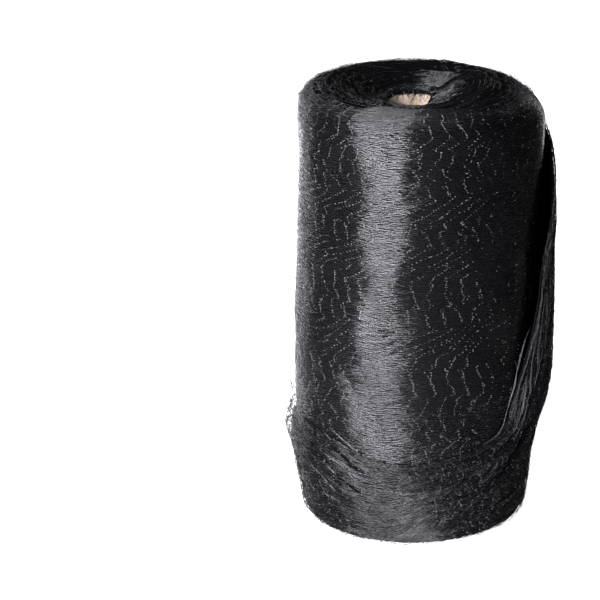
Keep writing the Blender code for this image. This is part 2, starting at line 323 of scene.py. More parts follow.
class LapForm:
    """The loose lap read from its solid: a smooth grid of columns along it and rows across it."""

    def __init__(self):
        solid = node_bvh("loose_lap")
        fine = np.linspace(0.0, len(LAP_RIBS) - 1.0, 800)
        rows = self.ribs(fine)
        edges = [np.stack((np.radians(rows[:, k]) * LAP_MEAN_RADIUS, rows[:, k + 1]), 1)
                 for k in (0, 2)]
        steps = 0.5 * sum(np.linalg.norm(np.diff(edge, axis=0), axis=1) for edge in edges)
        self.fine, self.fine_run = fine, np.concatenate(((0.0,), np.cumsum(steps)))
        self.length = self.fine_run[-1]
        self.u = np.linspace(0.0, 1.0, LAP_COLUMNS)
        self.v = np.linspace(0.0, 1.0, LAP_ROWS) ** 1.25
        u, v = np.meshgrid(self.u, self.v, indexing="ij")
        self.azimuth, self.height = self.plan(u, v)
        self.radius = np.zeros_like(self.azimuth)
        for index in np.ndindex(self.radius.shape):
            self.radius[index] = self.outer_radius(solid, self.azimuth[index], self.height[index])
        for _ in range(2):
            self.radius = self.smooth(self.radius)

    @staticmethod
    def smooth(values):
        """Averages each value with its four neighbours."""
        wide = np.pad(values, 1, mode="edge")
        mean = 0.25 * (wide[:-2, 1:-1] + wide[2:, 1:-1] + wide[1:-1, :-2] + wide[1:-1, 2:])
        return 0.5 * values + 0.5 * mean

    @staticmethod
    def ribs(place):
        """Catmull-Rom reading of the rib table."""
        place = np.atleast_1d(place)
        index = np.minimum(place.astype(int), len(LAP_RIBS) - 2)
        part = (place - index)[:, None]
        before = LAP_RIBS[np.maximum(index - 1, 0)]
        here, there = LAP_RIBS[index], LAP_RIBS[index + 1]
        after = LAP_RIBS[np.minimum(index + 2, len(LAP_RIBS) - 1)]
        return 0.5 * (2.0 * here + (there - before) * part
                      + (2.0 * before - 5.0 * here + 4.0 * there - after) * part ** 2
                      + (3.0 * here - before - 3.0 * there + after) * part ** 3)

    def plan(self, u, v):
        """Azimuth and height at a share along the lap and a share across it."""
        u, v = np.asarray(u, float), np.asarray(v, float)
        place = np.interp(u * self.length, self.fine_run, self.fine)
        rows = self.ribs(place.ravel()).reshape(place.shape + (4,))
        degrees = rows[..., 0] + (rows[..., 2] - rows[..., 0]) * v
        return np.radians(degrees), rows[..., 1] + (rows[..., 3] - rows[..., 1]) * v

    @staticmethod
    def outer_radius(solid, azimuth, height):
        """Distance of the solid's outer face from the axis."""
        way = Vector((-math.cos(azimuth), -math.sin(azimuth), 0.0))
        start = Vector((CORE_X, 0.0, height)) - way * 0.2
        hit = solid.ray_cast(start, way)[0]
        if hit is None or hit.x * -way.x + hit.y * -way.y < 0.05:
            hit = solid.find_nearest(Vector((CORE_X, 0.0, height)) - way * 0.114)[0]
        return math.hypot(hit.x - CORE_X, hit.y)

    def read(self, u, v):
        """Radius at a share along the lap and a share across it."""
        column = np.clip(u, 0.0, 1.0) * (LAP_COLUMNS - 1)
        row = np.interp(v, self.v, np.arange(LAP_ROWS))
        first = np.clip(np.floor(column).astype(int), 0, LAP_COLUMNS - 2)
        low = np.clip(np.floor(row).astype(int), 0, LAP_ROWS - 2)
        return grid_value(self.radius, first, first + 1, column - first, low, row - low)

    def place(self, u, v, lift):
        """Points and outward normals on the lap's outer face."""
        def point(a, b):
            """Point on the outer face."""
            azimuth, height = self.plan(a, b)
            return round_axis(azimuth, self.read(a, b), height)

        step = 0.002
        along = point(np.minimum(u + step, 1.0), v) - point(np.maximum(u - step, 0.0), v)
        down = point(u, np.minimum(v + step, 1.0)) - point(u, np.maximum(v - step, 0.0))
        normals = np.cross(down, along)
        normals /= np.linalg.norm(normals, axis=-1, keepdims=True) + 1e-12
        return point(u, v) + normals * np.asarray(lift)[..., None], normals


@cache
def wound_form():
    """The wound body's form, read once."""
    return WoundForm()


@cache
def lap_form():
    """The loose lap's form, read once."""
    return LapForm()


class RowNoise:
    """Soft seeded noise down each knot row, unlike from row to row."""

    def __init__(self, seed, rows, length, step):
        rng = np.random.default_rng(seed)
        self.step = step
        self.values = rng.normal(size=(rows, int(length / step) + 3))

    def read(self, row, distance):
        """Noise at distances down the rows."""
        place = np.clip(distance / self.step, 0.0, self.values.shape[1] - 1.001)
        low = place.astype(int)
        part = blend_step(place - low, 0.0, 1.0)
        row = np.mod(row, len(self.values))
        return self.values[row, low] * (1.0 - part) + self.values[row, low + 1] * part


def soft_noise(rng, step, share):
    """Soft noise along one line, at shares of its length."""
    return RowNoise(rng.integers(1 << 30), 1, 1.0, step).read(0, share)


class Cover:
    """Where the loose lap hides the wound body, less a margin along its edges."""

    HEIGHT_STEP = 0.0025
    COLUMNS = 288
    ROWS = int(0.41 / HEIGHT_STEP) + 1
    SHOULDER = 0.388

    def __init__(self, lap, margin):
        mask = np.zeros((self.COLUMNS, self.ROWS), bool)
        u, v = np.meshgrid(np.linspace(0.0, 1.0, 1600), np.linspace(0.0, 1.0, 420), indexing="ij")
        mask[self.cell(*lap.plan(u, v))] = True
        mask[:, :3] = True
        for _ in range(round(margin / self.HEIGHT_STEP)):
            shrunk = mask & np.roll(mask, 1, 0) & np.roll(mask, -1, 0)
            shrunk[:, 1:] &= mask[:, :-1]
            shrunk[:, :-1] &= mask[:, 1:]
            mask = shrunk
        self.mask = mask

    def cell(self, azimuth, height):
        """Column and row of the mask at azimuths and heights."""
        column = (np.mod(azimuth / TURN, 1.0) * self.COLUMNS).astype(int) % self.COLUMNS
        return column, np.clip((height / self.HEIGHT_STEP).astype(int), 0, self.ROWS - 1)

    def hides(self, azimuth, height):
        """Whether the lap hides these places."""
        return self.mask[self.cell(azimuth, height)] & (height < self.SHOULDER)


def split_runs(points, shown, least=3):
    """Stretches of a polyline whose points are shown."""
    lines, start = [], None
    for i, seen in enumerate(list(shown) + [False]):
        if seen and start is None:
            start = i
        elif not seen and start is not None:
            if i - start >= least:
                lines.append(points[start:i])
            start = None
    return lines


def add_object(name, data):
    """New object in the scene."""
    thing = bpy.data.objects.new(name, data)
    bpy.context.scene.collection.objects.link(thing)
    return thing


def guide_object(name, lines):
    """Mesh of bare edges, one chain for each line of points."""
    counts = [len(line) for line in lines]
    starts = np.concatenate(((0,), np.cumsum(counts)[:-1]))
    points = np.concatenate(lines)
    edges = np.concatenate([np.arange(s, s + n - 1) for s, n in zip(starts, counts)])
    mesh = bpy.data.meshes.new(name)
    mesh.vertices.add(len(points))
    mesh.vertices.foreach_set("co", points.astype(np.float32).ravel())
    mesh.edges.add(len(edges))
    mesh.edges.foreach_set("vertices", np.column_stack((edges, edges + 1)).astype(np.int32).ravel())
    mesh.update()
    return add_object(name, mesh)


def point_object(name, points, along, outward):
    """Mesh of bare points, each with the direction that it lies along and the outward one."""
    mesh = bpy.data.meshes.new(name)
    mesh.vertices.add(len(points))
    mesh.vertices.foreach_set("co", points.astype(np.float32).ravel())
    for label, values in (("along", along), ("outward", outward)):
        attribute = mesh.attributes.new(label, "FLOAT_VECTOR", "POINT")
        attribute.data.foreach_set("vector", values.astype(np.float32).ravel())
    mesh.update()
    return add_object(name, mesh)


# Nodes

def feed(tree, socket, value):
    """Links an output to an input, or sets the input to a plain value."""
    if isinstance(value, bpy.types.NodeSocket):
        tree.links.new(value, socket)
    else:
        socket.default_value = value


def add_node(tree, kind, inputs=None, **settings):
    """New node with its settings, and its inputs fed by name or number."""
    node = tree.nodes.new(kind)
    for name, value in settings.items():
        setattr(node, name, value)
    for key, value in (inputs or {}).items():
        feed(tree, node.inputs[key], value)
    return node


def math_node(tree, operation, *values):
    """Result of a math node."""
    return add_node(tree, "ShaderNodeMath", dict(enumerate(values)), operation=operation).outputs[0]


def new_group(name, kind, inputs, outputs):
    """New node group with its sockets, and the nodes that it is entered and left by."""
    group = bpy.data.node_groups.new(name, kind)
    for label, socket_type, default in inputs:
        socket = group.interface.new_socket(label, in_out="INPUT", socket_type=socket_type)
        if default is not None:
            socket.default_value = default
    for label, socket_type in outputs:
        group.interface.new_socket(label, in_out="OUTPUT", socket_type=socket_type)
    return group, group.nodes.new("NodeGroupInput"), group.nodes.new("NodeGroupOutput")


def finish_tree(tree, entry, leave, made):
    """Smooth, realized and with its material."""
    smooth = add_node(tree, "GeometryNodeSetShadeSmooth", {"Geometry": made})
    real = add_node(tree, "GeometryNodeRealizeInstances", {0: smooth.outputs[0]})
    paint = add_node(tree, "GeometryNodeSetMaterial", {
        "Geometry": real.outputs[0], "Material": entry.outputs["Material"]})
    tree.links.new(paint.outputs[0], leave.inputs["Geometry"])


def thread_tree():
    """Round threads along bare edges, with a slight seeded waver."""
    name = "Net Thread"
    if name in bpy.data.node_groups:
        return bpy.data.node_groups[name]
    tree, entry, leave = new_group(name, "GeometryNodeTree", (
        ("Geometry", "NodeSocketGeometry", None),
        ("Diameter", "NodeSocketFloat", 0.0004),
        ("Sides", "NodeSocketInt", 3),
        ("Waver", "NodeSocketFloat", 0.0001),
        ("Waver Scale", "NodeSocketFloat", 300.0),
        ("Seed", "NodeSocketFloat", 1.0),
        ("Material", "NodeSocketMaterial", None),
    ), (("Geometry", "NodeSocketGeometry"),))
    given = entry.outputs
    noise = add_node(tree, "ShaderNodeTexNoise", {
        "Scale": given["Waver Scale"], "W": given["Seed"], "Detail": 1.0}, noise_dimensions="4D")
    centre = add_node(tree, "ShaderNodeVectorMath", {
        0: noise.outputs["Color"], 1: (0.5, 0.5, 0.5)}, operation="SUBTRACT")
    size = add_node(tree, "ShaderNodeVectorMath", {
        0: centre.outputs[0], "Scale": given["Waver"]}, operation="SCALE")
    move = add_node(tree, "GeometryNodeSetPosition", {
        "Geometry": given["Geometry"], "Offset": size.outputs[0]})
    curve = add_node(tree, "GeometryNodeMeshToCurve", {0: move.outputs[0]})
    ring = add_node(tree, "GeometryNodeCurvePrimitiveCircle", {
        "Resolution": given["Sides"], "Radius": math_node(tree, "MULTIPLY", given["Diameter"], 0.5)})
    tube = add_node(tree, "GeometryNodeCurveToMesh", {
        "Curve": curve.outputs[0], "Profile Curve": ring.outputs[0], "Fill Caps": True})
    finish_tree(tree, entry, leave, tube.outputs[0])
    return tree


def knot_tree():
    """Small round knots on points, each laid along its thread and of its own size."""
    name = "Net Knot"
    if name in bpy.data.node_groups:
        return bpy.data.node_groups[name]
    tree, entry, leave = new_group(name, "GeometryNodeTree", (
        ("Geometry", "NodeSocketGeometry", None),
        ("Length", "NodeSocketFloat", 0.0014),
        ("Width", "NodeSocketFloat", 0.0009),
        ("Height", "NodeSocketFloat", 0.0006),
        ("Size Spread", "NodeSocketFloat", 0.3),
        ("Seed", "NodeSocketInt", 1),
        ("Material", "NodeSocketMaterial", None),
    ), (("Geometry", "NodeSocketGeometry"),))
    given = entry.outputs
    ball = add_node(tree, "GeometryNodeMeshUVSphere", {"Radius": 0.5, "Segments": 5, "Rings": 2})
    turned = {}
    for label, axis, pivot in (("along", "X", "AUTO"), ("outward", "Z", "X")):
        way = add_node(tree, "GeometryNodeInputNamedAttribute", {
            "Name": label}, data_type="FLOAT_VECTOR")
        turn = add_node(tree, "FunctionNodeAlignRotationToVector", {
            "Vector": way.outputs[0], **turned}, axis=axis, pivot_axis=pivot)
        turned = {"Rotation": turn.outputs[0]}
    spread = add_node(tree, "FunctionNodeRandomValue", {"Seed": given["Seed"]})
    for operation, limit in zip(("SUBTRACT", "ADD"), [s for s in spread.inputs if s.type == "VALUE"]):
        feed(tree, limit, math_node(tree, operation, 1.0, given["Size Spread"]))
    shape = add_node(tree, "ShaderNodeCombineXYZ", {
        0: given["Length"], 1: given["Width"], 2: given["Height"]})
    scale = add_node(tree, "ShaderNodeVectorMath", {
        0: shape.outputs[0], "Scale": next(s for s in spread.outputs if s.type == "VALUE")},
        operation="SCALE")
    points = add_node(tree, "GeometryNodeMeshToPoints", {0: given["Geometry"]})
    place = add_node(tree, "GeometryNodeInstanceOnPoints", {
        "Points": points.outputs[0], "Instance": ball.outputs[0], "Scale": scale.outputs[0], **turned})
    finish_tree(tree, entry, leave, place.outputs[0])
    return tree


def grow(guide, name, tree, values):
    """Runs a tree on a guide and keeps the plain mesh as a piece on the body."""
    modifier = guide.modifiers.new("Grow", "NODES")
    modifier.node_group = tree
    for item in tree.interface.items_tree:
        if item.item_type == "SOCKET" and item.in_out == "INPUT" and item.name in values:
            modifier[item.identifier] = values[item.name]
    guide.update_tag()
    graph = bpy.context.evaluated_depsgraph_get()
    mesh = bpy.data.meshes.new_from_object(guide.evaluated_get(graph))
    bare = guide.data
    bpy.data.objects.remove(guide)
    bpy.data.meshes.remove(bare)
    if not len(mesh.polygons):
        raise RuntimeError(f"{name} came out empty")
    mesh.name = name
    return keep(add_object(name, mesh))


def grow_threads(name, lines, settings, finish, diameter, waver, scale, seed):
    """Piece of round threads along lines."""
    return grow(guide_object(name + "_guide", lines), name, thread_tree(), {
        "Diameter": diameter, "Sides": 3, "Waver": waver, "Waver Scale": scale, "Seed": seed,
        "Material": thread_material(finish, settings)})


def grow_knots(name, knots, settings, height, spread, seed):
    """Piece of knots on points, laid along their threads."""
    return grow(point_object(name + "_guide", *knots), name, knot_tree(), {
        "Length": settings.knot_length, "Width": settings.knot_width, "Height": height,
        "Size Spread": spread, "Seed": seed, "Material": thread_material("tied_knot", settings)})


def joined(*groups):
    """Knots of several nets together: places, ways along and ways outward."""
    return [np.concatenate(parts) for parts in zip(*groups)]


def keep(piece):
    """Puts a piece on the body."""
    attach(piece, "root")
    return piece


def mesh_piece(name, points, faces, material, around, up):
    """Smooth mesh of quads, with its UV map round the roll and along the section."""
    mesh = bpy.data.meshes.new(name)
    mesh.from_pydata(points.reshape(-1, 3).tolist(), [], faces.tolist())
    layer = mesh.uv_layers.new(name=RUN_MAP)
    layer.data.foreach_set("uv", np.stack((around, up), -1).astype(np.float32).ravel())
    mesh.materials.append(material)
    mesh.shade_smooth()
    mesh.update()
    return add_object(name, mesh)


def grid_faces(columns, rows, close_columns=False, close_rows=False):
    """Quads of a grid of points that is stored column by column, with their corners' grid places."""
    i = np.arange(columns if close_columns else columns - 1)
    j = np.arange(rows if close_rows else rows - 1)
    i, j = [part.ravel() for part in np.meshgrid(i, j, indexing="ij")]
    corner = ((i, j), (i + 1, j), (i + 1, j + 1), (i, j + 1))
    faces = np.stack([(a % columns) * rows + (b % rows) for a, b in corner], 1)
    places = np.stack([np.stack((a, b), 1) for a, b in corner], 1)
    return faces, places


# Materials

def noise_node(tree, vector, scale, detail, roughness):
    """Value of a noise texture."""
    return add_node(tree, "ShaderNodeTexNoise", {
        "Vector": vector, "Scale": scale, "Detail": detail, "Roughness": roughness}).outputs["Fac"]


def map_node(tree, value, low, high, to_low, to_high):
    """Value brought softly from one range to another."""
    return add_node(tree, "ShaderNodeMapRange", {
        "Value": value, "From Min": low, "From Max": high, "To Min": to_low, "To Max": to_high},
        interpolation_type="SMOOTHSTEP").outputs["Result"]


def mix_colour(tree, factor, first, second):
    """Colour between two others."""
    node = add_node(tree, "ShaderNodeMix", {"Factor": factor}, data_type="RGBA")
    for socket, colour in zip([s for s in node.inputs if s.type == "RGBA"], (first, second)):
        feed(tree, socket, colour)
    return next(s for s in node.outputs if s.type == "RGBA")


# Worn dashes that run round the roll, over three times as long as they are high
DASH_ALONG = 260.0
DASH_ACROSS = 900.0
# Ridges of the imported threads
RIDGE_PITCH = 0.0010
RIDGE_DEPTH = 0.0004
# The foot of the roll and its top are the most scuffed: two heights, roughness added at each
SCUFFS = ((0.11, 0.30, 0.10, 0.0), (0.384, 0.399, 0.0, 0.25))
# Threads and knots: how much lighter than the clean net and the dust they are, their roughness
# where smooth and where worn, and their specular level
FINISHES = {
    "drawn_thread": (1.0, 1.0, 0.10, 0.18, 0.5),
    "loose_thread": (1.0, 1.0, 0.10, 0.27, 0.25),
    # Knots are painted lighter than the threads: partly dust, partly painted glints where they catch
    # the light.
    "tied_knot": (3.5, 8.0, 0.20, 0.32, 0.9),
    # Loose strands are painted much lighter: partly frayed plastic, partly a painted sheen for the
    # bright streaks where they catch the light.
    "frayed_strand": (6.0, 11.0, 0.20, 0.40, 0.6),
}


def wear_group():
    """Colour and roughness of black net: clean and dusty patches, and scuffed spots."""
    name = "Net Wear"
    if name in bpy.data.node_groups:
        return bpy.data.node_groups[name]
    group, entry, leave = new_group(name, "ShaderNodeTree", (
        ("Clean Colour", "NodeSocketColor", (0.01, 0.01, 0.01, 1.0)),
        ("Dusty Colour", "NodeSocketColor", (0.03, 0.03, 0.03, 1.0)),
        ("Patch Scale", "NodeSocketFloat", 60.0),
        ("Smooth Roughness", "NodeSocketFloat", 0.25),
        ("Worn Roughness", "NodeSocketFloat", 0.45),
    ), (("Colour", "NodeSocketColor"), ("Roughness", "NodeSocketFloat")))
    given = entry.outputs
    place = group.nodes.new("ShaderNodeTexCoord").outputs["Object"]
    patches = noise_node(group, place, scale=given["Patch Scale"], detail=4.0, roughness=0.5)
    specks = noise_node(group, place, scale=620.0, detail=1.5, roughness=0.6)
    dust = math_node(group, "MULTIPLY", map_node(group, patches, 0.30, 0.64, 0.2, 1.0),
                     map_node(group, specks, 0.50, 0.66, 0.0, 1.0))
    colour = mix_colour(group, dust, given["Clean Colour"], given["Dusty Colour"])
    feed(group, leave.inputs["Colour"], colour)

    x, y, z = add_node(group, "ShaderNodeSeparateXYZ", {0: place}).outputs
    across = math_node(group, "SUBTRACT", x, CORE_X)
    angle = math_node(group, "ARCTAN2", y, across)
    square = math_node(group, "ADD", math_node(group, "MULTIPLY", across, across),
                       math_node(group, "MULTIPLY", y, y))
    unrolled = add_node(group, "ShaderNodeCombineXYZ", {
        0: math_node(group, "MULTIPLY", angle, MEAN_RADIUS * DASH_ALONG),
        1: math_node(group, "MULTIPLY", z, DASH_ACROSS),
        2: math_node(group, "MULTIPLY", math_node(group, "SQRT", square), 0.5 * DASH_ACROSS)})
    dashes = noise_node(group, unrolled.outputs[0], scale=1.0, detail=1.0, roughness=0.5)
    rough = map_node(group, dashes, 0.40, 0.60, given["Smooth Roughness"], given["Worn Roughness"])
    for low, high, at_low, at_high in SCUFFS:
        rough = math_node(group, "ADD", rough, map_node(group, z, low, high, at_low, at_high))
    feed(group, leave.inputs["Roughness"], rough)
    return group


def scaled(colour, factor):
    """Colour made lighter or darker."""
    return tuple(factor * part for part in colour[:3]) + (1.0,)


def plain_material(name):
    """New material, its tree and its shader."""
    material = bpy.data.materials.new(name)
    material.use_nodes = True
    return material, material.node_tree, material.node_tree.nodes["Principled BSDF"]


def worn_material(name, clean, dusty, smooth, worn, specular):
    """Black plastic with the wear group's roughness: material, tree, shader and the group's colour."""
    material, tree, shader = plain_material(name)
    wear = add_node(tree, "ShaderNodeGroup", {
        "Clean Colour": clean, "Dusty Colour": dusty,
        "Smooth Roughness": smooth, "Worn Roughness": worn}, node_tree=wear_group())
    tree.links.new(wear.outputs["Roughness"], shader.inputs["Roughness"])
    shader.inputs["Specular IOR Level"].default_value = specular
    return material, tree, shader, wear.outputs["Colour"]


def thread_material(name, settings):
    """Glossy black plastic of a drawn thread or a knot, by the table of finishes."""
    if name in bpy.data.materials:
        return bpy.data.materials[name]
    lighter, dustier, smooth, worn, specular = FINISHES[name]
    material, tree, shader, colour = worn_material(
        name, scaled(settings.colour, lighter), scaled(settings.dust, dustier), smooth, worn, specular)
    tree.links.new(colour, shader.inputs["Base Color"])
    place = tree.nodes.new("ShaderNodeTexCoord").outputs["Object"]
    fine = noise_node(tree, place, scale=2600.0, detail=1.0, roughness=0.55)
    grain = add_node(tree, "ShaderNodeBump", {"Strength": 0.35, "Distance": 0.0001, "Height": fine})
    tree.links.new(grain.outputs[0], shader.inputs["Normal"])
    return material


def skin_material(settings):
    """Packed threads under the outermost ones: ridges that run round the roll, with painted shade in
    the gaps between them.
    """
    name = "packed_net"
    if name in bpy.data.materials:
        return bpy.data.materials[name]
    material, tree, shader, colour = worn_material(
        name, settings.colour, settings.dust, 0.50, 0.70, 0.02)
    run = add_node(tree, "ShaderNodeUVMap", uv_map=RUN_MAP)
    stretch = add_node(tree, "ShaderNodeMapping", {"Vector": run.outputs[0], "Scale": (0.35, 1.0, 1.0)})
    bands = add_node(tree, "ShaderNodeTexWave", {
        "Vector": stretch.outputs[0], "Scale": 0.314 / RIDGE_PITCH, "Distortion": 5.0, "Detail": 2.0,
        "Detail Scale": 0.25}, bands_direction="Y").outputs["Fac"]
    ridge = add_node(tree, "ShaderNodeBump", {
        "Strength": 0.8, "Distance": RIDGE_DEPTH, "Height": bands})
    tree.links.new(ridge.outputs[0], shader.inputs["Normal"])
    # Painted shade: the gaps between the ridges are painted darker than the ridges, at 0.45 of the
    # clean black.
    shade = map_node(tree, bands, 0.2, 0.9, 0.0, 1.0)
    gaps = scaled(settings.colour, 0.45)
    tree.links.new(mix_colour(tree, shade, gaps, colour), shader.inputs["Base Color"])
    return material


# Wound body

# The skins lie this far under the outermost threads
SKIN_DROP = 0.0009
LAP_SKIN_DROP = 0.0008
# Places of a thread's points from one knot row to the next
KNOT_SPAN_STEPS = (0.0, 0.22, 0.5, 0.78)
LAP_SPAN_STEPS = (0.0, 0.3, 0.65)
# Shares of the thread spacing: how far threads close up at their knots, and how unevenly they lie
CLOSENESS = 0.35
JITTER = 0.14


def slant(azimuth, run):
    """How far the threads wander along the roll, so that they run slightly uphill and downhill."""
    return 0.0014 * wave_field(azimuth, run, seed=11, waves=9, turns=(3, 12), rises=(4.0, 18.0))


def clump(azimuth, run):
    """Pulls neighbouring threads into strands with dark gaps between them."""
    return 0.00017 * wave_field(azimuth, run, seed=37, waves=14, turns=(24, 90), rises=(300.0, 560.0))


def layer_unevenness(azimuth, run):
    """Low unevenness of the wound layers."""
    broad = wave_field(azimuth, run, seed=23, waves=9, turns=(4, 15), rises=(3.0, 16.0))
    fine = wave_field(azimuth, run, seed=29, waves=11, turns=(14, 44), rises=(15.0, 60.0))
    return 0.00028 * broad + 0.00010 * fine


def top_rings(azimuth, run, start):
    """Edges of the wound layers that show as rings on the top."""
    inward = np.maximum(run - start, 0.0)
    waver = 0.0016 * wave_field(azimuth, run, seed=31, waves=6, turns=(2, 9), rises=(0.0, 6.0))
    rings = np.cos(TURN * (inward + waver) / 0.0052)
    return 0.00055 * rings * blend_step(inward, 0.0, 0.010)


def build_wound_skin(material):
    """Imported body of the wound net, with its layers and the rings on its top."""
    form = wound_form()
    columns, rows = form.radius.shape
    azimuth = np.repeat(form.azimuths[:, None], rows, 1)
    station = np.repeat(np.arange(rows, dtype=float)[None], columns, 0)
    run = form.run[None, :] + 0.0 * azimuth
    shoulder = form.run[form.top[0]]
    open_face = np.isin(form.kinds, ("side", "top"))[None, :]
    lift = layer_unevenness(azimuth, run) + top_rings(azimuth, run, shoulder)
    lift = np.where(open_face, lift - SKIN_DROP, 0.0)
    lift *= blend_step(form.height.mean(0), 0.0, 0.012)[None, :]
    inner = np.isin(form.kinds, ("lip", "bore", "foot"))
    lift[:, inner] = 0.0
    points, _ = form.place(azimuth, station, lift)
    points[:, inner] = round_axis(azimuth[:, inner], form.radius[:, inner], form.height[:, inner])
    faces, places = grid_faces(columns, rows, True, True)
    around = places[..., 0] * TURN / columns * MEAN_RADIUS
    up = np.append(form.run, form.run[-1] + 0.03)[places[..., 1]]
    return mesh_piece("wound_skin", points, faces, material, around, up)


class NetLayer:
    """One layer of knotted net: threads that meet their neighbours at rows of knots."""

    def __init__(self, seed, first, last, spacing):
        self.rng = np.random.default_rng(seed)
        self.count = int((last - first) / spacing)
        self.spacing = spacing
        base = first + spacing * (np.arange(self.count + 1) + 0.5)
        base += self.rng.uniform(-JITTER, JITTER, self.count + 1) * spacing
        self.middle = np.concatenate(((base[0] - spacing / 2.0,), 0.5 * (base[1:] + base[:-1])))
        self.meander = RowNoise(seed + 1, ROWS_ROUND, last + 0.05, 0.010)
        self.ripple = RowNoise(seed + 3, ROWS_ROUND, last + 0.05, 0.0035)
        self.swell = RowNoise(seed + 2, ROWS_ROUND, last + 0.05, 0.016)

    def knots(self, rows):
        """Knot row, pair and place across the layer, for each thread at each of the rows."""
        thread = np.arange(self.count)[:, None]
        row = np.asarray(rows)[None, :] + 0 * thread
        pair = thread + 1 - (row + thread) % 2
        side = np.where(pair == thread, 0.5, -0.5)
        middle = self.middle[pair]
        return row, middle, middle + side * CLOSENESS * self.spacing


def spans(values, steps):
    """Values at knot rows spread to the steps between the rows."""
    first, second = values[:, :-1], values[:, 1:]
    parts = [first * (1.0 - step) + second * step for step in steps]
    joined = np.stack(parts, 2).reshape(len(values), -1)
    return np.concatenate((joined, values[:, -1:]), 1)


def net_end(form, azimuth):
    """Run at which the threads round the body end: well on to the top in front, else at its edge."""
    front = blend_step(-np.sin(azimuth), 0.72, 0.95)
    return form.run[form.top[0]] - 0.020 + 0.031 * front


def knot_relief(azimuth, run, rng):
    """Share of their height that the knots stand out, least where the net is drawn tight."""
    degrees = signed_degrees(azimuth)
    tight = blend_step(degrees, -82.0, -50.0) * (1.0 - blend_step(degrees, 30.0, 60.0))
    start = 1.0 - blend_step(degrees, -150.0, -112.0)
    patches = wave_field(azimuth, run, seed=43, waves=9, turns=(5, 19), rises=(12.0, 60.0))
    patches = blend_step(patches, -0.9, 0.5)
    share = (1.0 - 0.90 * tight) * (1.0 - 0.5 * start) * (0.45 + 0.55 * patches)
    return np.clip(share + rng.normal(0.0, 0.16, share.shape), 0.0, 1.1)


def wound_net(form, layer, cover, lift, swell):
    """Lines of thread and knot places of one net layer on the wound body."""
    rng = layer.rng
    rows = np.arange(ROWS_ROUND + 1)
    row, middle, place = layer.knots(rows)
    mean_height = form.height.mean(0)
    drift_at = np.interp(middle, form.run, mean_height)
    heights, shifts = zip(*ROW_DRIFT)
    azimuth = row * TURN / ROWS_ROUND + np.interp(drift_at, heights, shifts)
    azimuth = azimuth + 0.016 * layer.meander.read(row, middle)
    azimuth = azimuth + 0.008 * layer.ripple.read(row, middle)
    run = place + slant(azimuth, middle)
    raise_by = lift + swell * layer.swell.read(row, middle) + layer_unevenness(azimuth, middle)
    azimuth[:, -1] = azimuth[:, 0] + TURN
    noise = rng.normal(0.0, 0.00009, raise_by.shape)
    noise[:, -1] = noise[:, 0]
    raise_by = raise_by + noise
    along, across, up = [spans(values, KNOT_SPAN_STEPS) for values in (azimuth, run, raise_by)]
    between = np.arange(along.shape[1]) % len(KNOT_SPAN_STEPS) != 0
    sink = np.where(between, 0.00017, 0.0)
    stand = rng.exponential(0.00022, up.shape) * between
    up = np.maximum(up - sink + stand, -0.00055)
    foot = np.interp((0.085, 0.165), form.side_heights, form.run[form.side])
    slack = 1.0 - blend_step(across, *foot)
    slack = np.maximum(slack, blend_step(-np.cos(along), 0.35, 0.75))
    uneven = rng.normal(0.0, 0.00024, across.shape) * between * (1.0 + slack)
    across = across + clump(along, across) + uneven
    points, _ = form.place(along, form.station_at_run(across), up)
    shown = ~cover.hides(along, points[..., 2]) & (across < net_end(form, along))
    lines = [line for thread, seen in zip(points, shown) for line in split_runs(thread, seen)]
    own = (row + np.arange(layer.count)[:, None]) % 2 == 1
    own[:, -1] = False
    knot_run = middle + slant(azimuth, middle)
    knot_run = knot_run + clump(azimuth, knot_run)
    knot_station = form.station_at_run(knot_run)
    relief = knot_relief(azimuth, middle, rng)
    knot_points, outward = form.place(azimuth, knot_station, raise_by - 0.0001 + 0.00068 * relief)
    ahead, _ = form.place(azimuth + 0.02, knot_station, raise_by)
    seen = own & ~cover.hides(azimuth, knot_points[..., 2])
    seen &= (middle < form.run[form.top[0]] - 0.012) & (relief > 0.16)
    return lines, (knot_points[seen], (ahead - knot_points)[seen], outward[seen])


def stray_threads(form, cover, seed, count, first, last):
    """Single threads that lie across the others, slack and at an angle."""
    rng = np.random.default_rng(seed)
    lines = []
    steps = np.linspace(-0.5, 0.5, 11)
    for _ in range(count):
        length = rng.uniform(0.015, 0.075)
        tilt = rng.normal(0.0, 0.11)
        azimuth = rng.uniform(0.0, TURN) + steps * length * math.cos(tilt) / MEAN_RADIUS
        run = rng.uniform(first, last) + steps * length * math.sin(tilt)
        bend = rng.normal(0.0, 0.0016)
        run = run + bend * np.cos(math.pi * steps) + rng.normal(0.0, 0.0003, len(steps))
        lift = 0.0003 + rng.uniform(0.0, 0.0009) * np.cos(math.pi * steps)
        line, _ = form.place(azimuth, form.station_at_run(run), lift)
        lines += split_runs(line, ~cover.hides(azimuth, line[:, 2]))
    return lines


def top_selvedges(form, seed, radii):
    """Scalloped edges of the wound layers on the top, one wavy ring for each radius."""
    rng = np.random.default_rng(seed)
    lines = []
    for radius in radii:
        scallops = max(24, round(TURN * radius / rng.uniform(0.0042, 0.0060)))
        steps = scallops * 4
        azimuth = np.linspace(0.0, TURN, steps + 1) + rng.uniform(0.0, TURN)
        share = np.linspace(0.0, 1.0, steps + 1)
        phase = np.arange(steps + 1) * TURN / 4.0
        size = 0.0009 * (0.6 + 0.5 * soft_noise(rng, 0.05, share))
        reach = radius + 0.0016 * soft_noise(rng, 0.07, share) + size * np.cos(phase)
        height = 0.0004 + 0.0011 * rng.random() + np.abs(size) * np.sin(phase)
        station = form.station_at_radius(np.clip(reach, TOP_INNER, 0.1))
        points, _ = form.place(azimuth + 0.3 * size / radius * np.sin(2.0 * phase), station, height)
        # Parts of the ring sink under their neighbours, most of all at the back
        sunk = soft_noise(rng, 0.04, share)
        sunk = sunk - 1.6 * (np.cos(azimuth - math.radians(62.0)) > 0.50) * (radius > 0.036)
        lines += split_runs(points, sunk > 0.0)
    return lines


